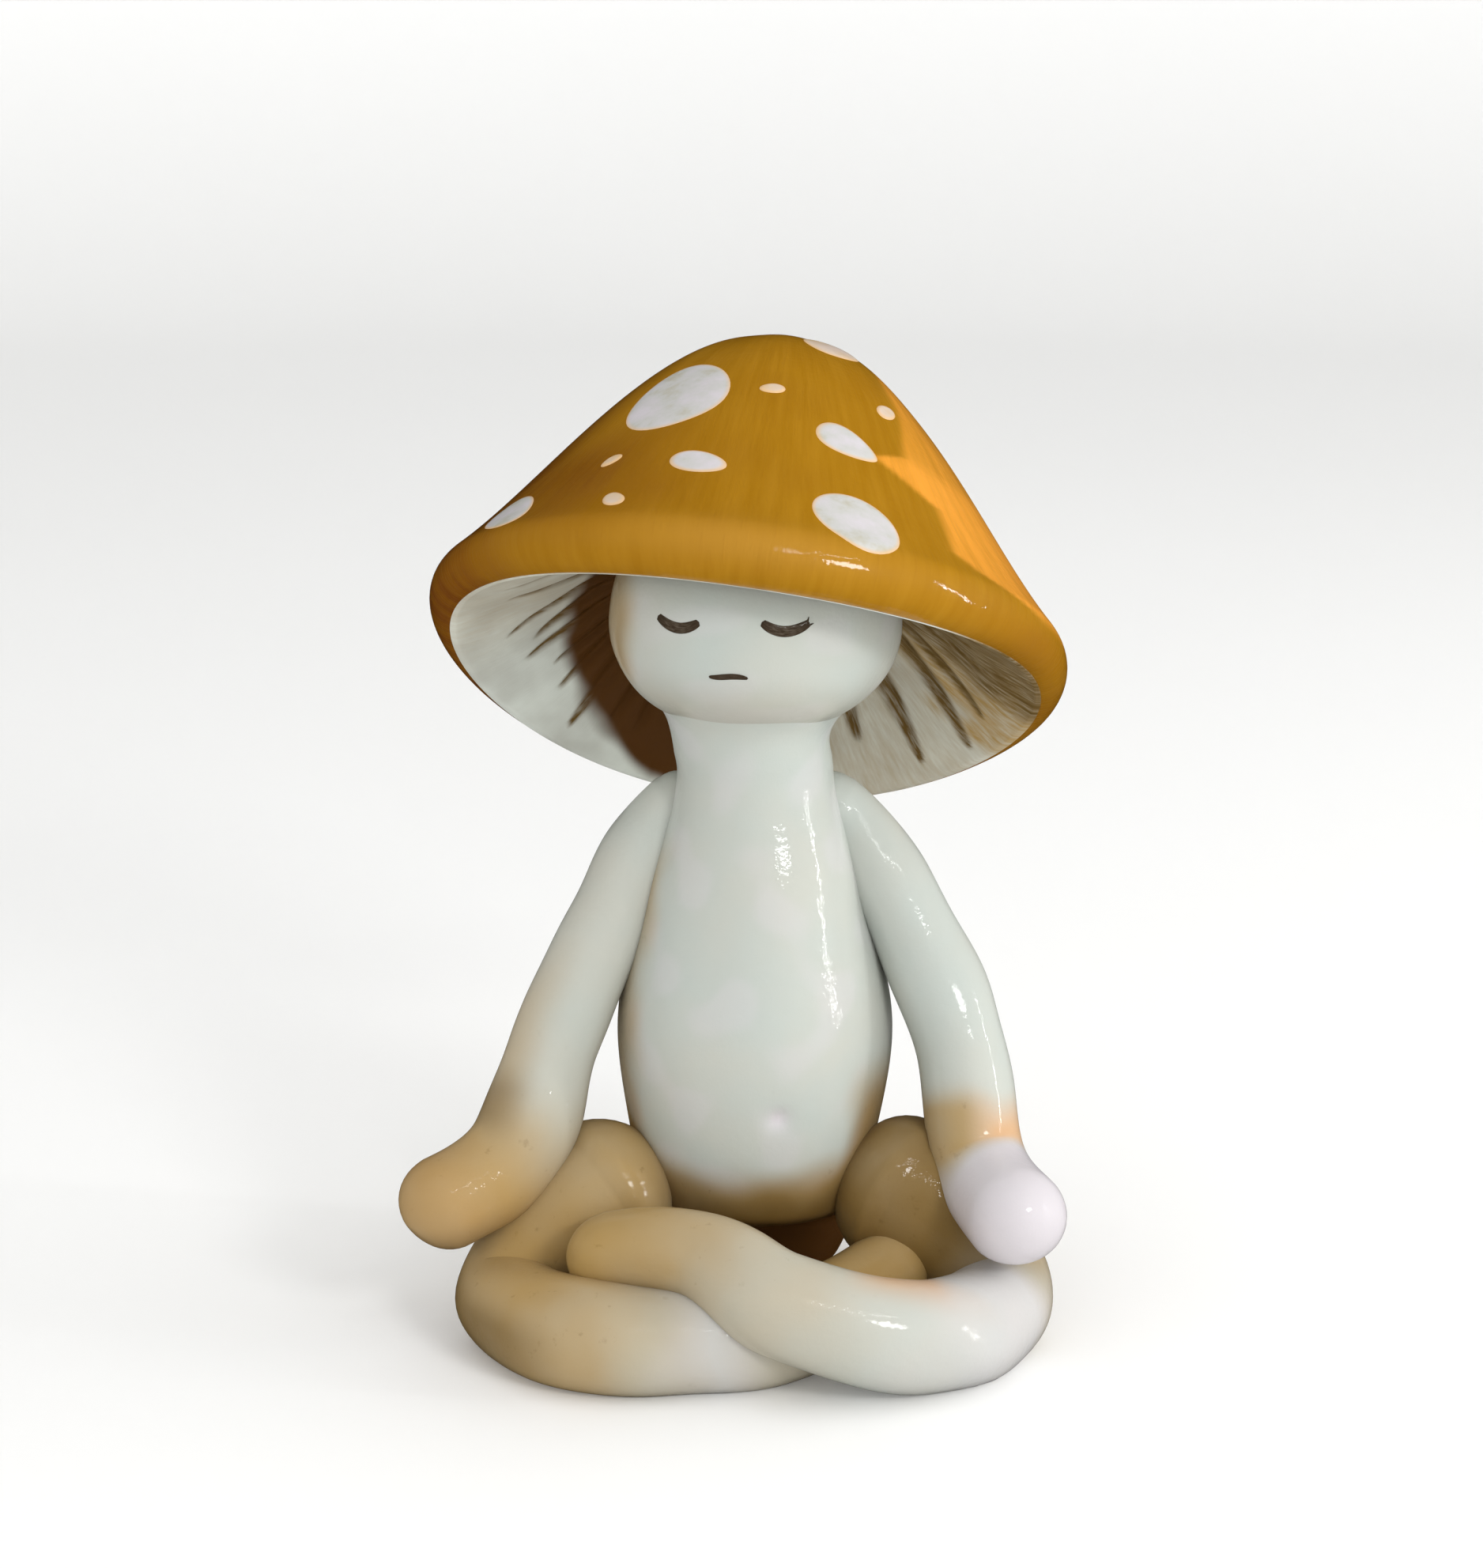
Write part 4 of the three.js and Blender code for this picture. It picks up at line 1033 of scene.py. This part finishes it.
def make_lining(sides=480, rows=120):
    turn = np.linspace(0, 2 * math.pi, sides, endpoint=False)
    face = underside(LINING_WALL, rows)[:-1]
    share = np.repeat(np.linspace(0, 1, rows)[:-1, None], sides, axis=1)
    round_cap = np.broadcast_to(turn, share.shape)
    radius = np.repeat(face[:, :1], sides, axis=1)
    groove = gill_grooves(round_cap, share, radius)
    up = face[:, 1:] + GILL_DEPTH * groove * ease(0.02, 0.35, share) - LINING_PROUD
    rings = round_points(radius, turn, up)
    rings[..., 2] += 0.12 * lumps(rings, 9, 32) * ease(0, 0.1, share) * (1 - ease(0.8, 1, share))

    # The lining wraps a little way round the lip, further at the back, and its back lies inside the cap.
    wrap = np.radians(-78 - 12 * np.cos(turn))
    steps = np.linspace(1, 0, 9)[:-1, None]
    angle = -math.pi / 2 + (wrap + math.pi / 2) * steps

    def lip_rings(size):
        return round_points(LIP_MIDDLE + size * np.cos(angle), turn, CAP_LIP_RADIUS + size * np.sin(angle))

    lip = lip_rings(CAP_LIP_RADIUS + LINING_PROUD)
    lip_back = lip_rings(CAP_LIP_RADIUS - LINING_BURIED)[::-1]
    back = underside(0, 40)[::-1][1:]
    back_rings = round_points(back[:, :1], turn, back[:, 1:] + LINING_BURIED)
    all_rings = np.concatenate([back_rings, lip_back, lip, rings])
    hidden = len(back_rings) + len(lip_back)

    def whole(values):
        on_lip = np.repeat(values[:1], len(lip), axis=0)
        return np.concatenate([np.zeros((hidden, sides)), on_lip, values])

    # Painted shade: tan and brown over the left side, tan and a little brown at the back left, a little tan
    # at the front right, dark brown where the head's shadow falls on the right side, and dark brown round the
    # head; the brown in the gill grooves is their paint
    ragged = lumps(rings, 5, 33)
    degrees = np.degrees(round_cap)
    tan_side = ease(28, 50, degrees) * (1 - ease(106, 120, degrees + 2 * ragged))
    brown_side = ease(35, 55, degrees) * (1 - ease(88, 104, degrees + 2 * ragged))
    left_back = ease(104, 124, degrees) * (1 - ease(160, 185, degrees))
    right_front = ease(240, 275, degrees)
    near = head_distance(rings) + 0.5 * ragged
    shade_tip = np.interp(degrees, (196, 206, 221, 235, 265, 300), (0.0, 0.08, 0.18, 0.25, 0.41, 0.5))
    shade = ease(-0.03, 0.05, share - shade_tip + 0.012 * ragged) * (degrees > 180)
    paints = {
        "stroke": whole(np.clip(np.maximum(1.6 * groove - 0.2, 0.9 * brown_side + 0.12 * left_back), 0, 1)),
        "tan_and_shade": whole(np.clip(0.9 * tan_side + 0.4 * left_back + 0.3 * right_front, 0, 1)),
        "deep": whole(np.clip(np.maximum(shade, 1 - ease(0.5, 4.5, near)), 0, 1)),
    }
    crown = np.array([[0, 0, HOLLOW_HEIGHT + LINING_BURIED], [0, 0, HOLLOW_HEIGHT - LINING_WALL]])
    points, faces = skin(cap_to_figure(all_rings), *cap_to_figure(crown))
    brush = brush_marks(np.broadcast_to(turn, all_rings.shape[:2]), 60 * whole(share))
    paints = {name: over_skin(values) for name, values in paints.items()}
    paints["brush"] = np.concatenate([brush.reshape(-1, 3), np.zeros((2, 3))])
    make_piece("gill_clay", points, faces, ["gill_lining"], LINING, paints)


# Spots: turn round the cap from its front, share of the way up its side, shares of the spot size and tilt,
# and for one like a drop, how much narrower one end is.
SPOTS = [
    (-32, 0.52, 0.54, 0.68, 15),
    (-4, 0.54, 0.13, 0.09, 20),
    (24, 0.79, 0.3, 0.32, 0),
    (32, 0.55, 0.16, 0.1, 50),
    (16, 0.41, 0.36, 0.21, -35, 0.4),
    (-17, 0.29, 0.3, 0.17, -13),
    (-38, 0.31, 0.12, 0.08, 40),
    (-30, 0.17, 0.14, 0.11, -40),
    (-57, 0.18, 0.4, 0.3, -30),
    (15, 0.18, 0.48, 0.38, -30),
    (84, 0.42, 0.46, 0.38, 10),
    (104, 0.7, 0.22, 0.18, 0),
    (118, 0.24, 0.26, 0.2, -15),
    (146, 0.5, 0.5, 0.42, 20),
    (176, 0.27, 0.17, 0.13, 0),
    (196, 0.66, 0.24, 0.2, 0),
    (214, 0.36, 0.42, 0.33, -20),
    (244, 0.6, 0.3, 0.25, 0),
    (264, 0.28, 0.16, 0.12, 15),
]


def make_spot(number, turn, up, across, along, tilt, drop=0, sides=56):
    """A thin pale disc that follows the cap, a little higher in the middle and irregular at its edge."""
    angle = np.linspace(0, 2 * math.pi, sides, endpoint=False)
    wobble = 1 + 0.035 * np.sin(2 * angle + number) + 0.03 * np.sin(3 * angle + 2.3 * number)
    spread = np.concatenate([np.linspace(0.06, 0.9, 14), [0.95, 0.98, 1, 1]])[:, None]
    height = np.where(spread < 1, SPOT_PROUD * (1 - spread**6), 0)
    height[-2:, 0] = (-0.05, -SPOT_SUNK)
    x = spread * across * SPOT_SIZE * wobble * np.cos(angle)
    y = spread * along * SPOT_SIZE * wobble * np.sin(angle) * (1 - drop * np.cos(angle))
    lean = math.radians(tilt)
    middle_radius = np.interp(up, np.linspace(0, 1, len(CAP_SIDE)), CAP_SIDE[:, 0])

    def place(x, y, height):
        round_cap = math.radians(turn) + (x * math.cos(lean) - y * math.sin(lean)) / middle_radius
        share = up + (x * math.sin(lean) + y * math.cos(lean)) / CAP_SIDE_LENGTH
        return cap_to_figure(on_cap(round_cap, share, height))

    rings = place(x, y, np.repeat(height, sides, axis=1))
    ends = place(np.zeros(2), np.zeros(2), np.array([SPOT_PROUD, -SPOT_SUNK]))
    points, faces = skin(rings, *ends)
    rim = 0.45 / (SPOT_SIZE * min(across, along))
    edge = np.repeat(ease(1 - rim, 1, spread) * 0.9, sides, axis=1)
    warm = 0.6 if across < 0.2 or up > 0.75 else 0.0
    paints = {"edge": over_skin(edge, 0, 1), "peach": np.full(len(points), warm)}
    make_piece(f"spot_{number:02d}", points, faces, [f"cap_spot_{number:02d}"], SPOT, paints)


# Scene


def dress_hidden_nodes():
    """Materials for the solids that stay: the foil cores and the wire pins."""
    for name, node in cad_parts.items():
        if node.hide_render:
            continue
        material = FOIL if name.endswith("_core") else WIRE
        node.data.materials.clear()
        node.data.materials.append(material)


def make_floor(sides=96):
    """A pale floor that sweeps up into a wall all round, with a faint unevenness."""
    paint = Paint("floor")
    place = paint.place()
    tone = paint.noise(place, 3.0, 2.0)
    colour = paint.layer(tone, PALE_FLOOR, PALER_FLOOR)
    grain = paint.noise(place, 900.0, 2.0)
    rough = paint.ramp(grain, 0.3, 0.7, 0.6, 0.75)
    height = paint.node("ShaderNodeSeparateXYZ", {0: place}).outputs["Z"]
    material = paint.finish(
        Base_Color=colour,
        Roughness=rough,
        Normal=paint.bump(grain, 0.05, 0.0001),
        Emission_Color=(1.0, 1.0, 1.0),
        Emission_Strength=paint.ramp(height, 0.0, 0.4, FLOOR_GLOW, WALL_GLOW),
    )
    turn = np.linspace(0, 2 * math.pi, sides, endpoint=False)
    sweep = arc((FLOOR_FLAT, FLOOR_SWEEP), FLOOR_SWEEP, -math.pi / 2, 0, 24)
    side = np.concatenate([sweep, [(FLOOR_FLAT + FLOOR_SWEEP, WALL_HEIGHT)]])
    radius, height = side[:, :1], np.repeat(side[:, 1:], sides, axis=1)
    rings = np.stack([radius * np.cos(turn), radius * np.sin(turn), height], axis=-1)
    mesh = bpy.data.meshes.new("floor")
    faces = [range(sides), *between_rings(*rings.shape[:2])[:, ::-1].tolist()]
    mesh.from_pydata(rings.reshape(-1, 3).tolist(), [], faces)
    mesh.shade_smooth()
    mesh.materials.append(material)
    floor = bpy.data.objects.new("floor", mesh)
    floor.visible_glossy = False
    bpy.context.scene.collection.objects.link(floor)


def add_light(name, place, width, height, power, target=FIGURE_MIDDLE, reflected=True):
    """A rectangular soft light that faces a target, in metres and watts, and may show in the varnish."""
    data = bpy.data.lights.new(name, "AREA")
    data.shape = "RECTANGLE"
    data.size = width
    data.size_y = height
    data.energy = power
    light = bpy.data.objects.new(name, data)
    light.location = place
    light.rotation_euler = (Vector(target) - Vector(place)).to_track_quat("-Z", "Y").to_euler()
    light.visible_glossy = reflected
    bpy.context.scene.collection.objects.link(light)


def light_scene():
    world = bpy.data.worlds.new("studio")
    world.use_nodes = True
    background = world.node_tree.nodes["Background"]
    background.inputs["Color"].default_value = (1.0, 1.0, 1.0, 1)
    background.inputs["Strength"].default_value = WORLD_LIGHT
    world.cycles_visibility.glossy = False
    bpy.context.scene.world = world
    add_light("key", (0.33, -0.47, 0.32), width=0.15, height=0.09, power=1.0)
    add_light("side", (0.58, -0.13, 0.15), width=0.012, height=0.28, power=0.6)
    add_light("brow", (0.27, -0.46, 0.53), width=0.4, height=0.006, power=0.3, target=(0, 0, 0.08))
    add_light("fill", (0.6, 0.1, 0.3), width=0.4, height=0.4, power=0.8, reflected=False)
    add_light("top", (0.0, -0.1, 1.1), width=1.2, height=1.2, power=3.6, reflected=False)


def aim_camera():
    """The photograph's viewpoint, fitted to the figure's outline."""
    data = bpy.data.cameras.new("camera")
    data.sensor_width = CAMERA_SENSOR
    data.lens = CAMERA_LENS
    data.clip_start = 0.01
    data.clip_end = 100
    camera = bpy.data.objects.new("camera", data)
    camera.location = ((FIGURE_PLACE + CAMERA_PLACE) * MM).tolist()
    camera.rotation_euler = (math.radians(90 - CAMERA_DOWN), 0, 0)
    bpy.context.scene.collection.objects.link(camera)
    bpy.context.scene.camera = camera


make_torso()
make_head()
make_face()
make_limbs()
make_cap()
make_lining()
for number, spot in enumerate(SPOTS, 1):
    make_spot(number, *spot)
dress_hidden_nodes()
make_floor()
light_scene()
aim_camera()
bpy.context.scene.view_settings.view_transform = "Standard"
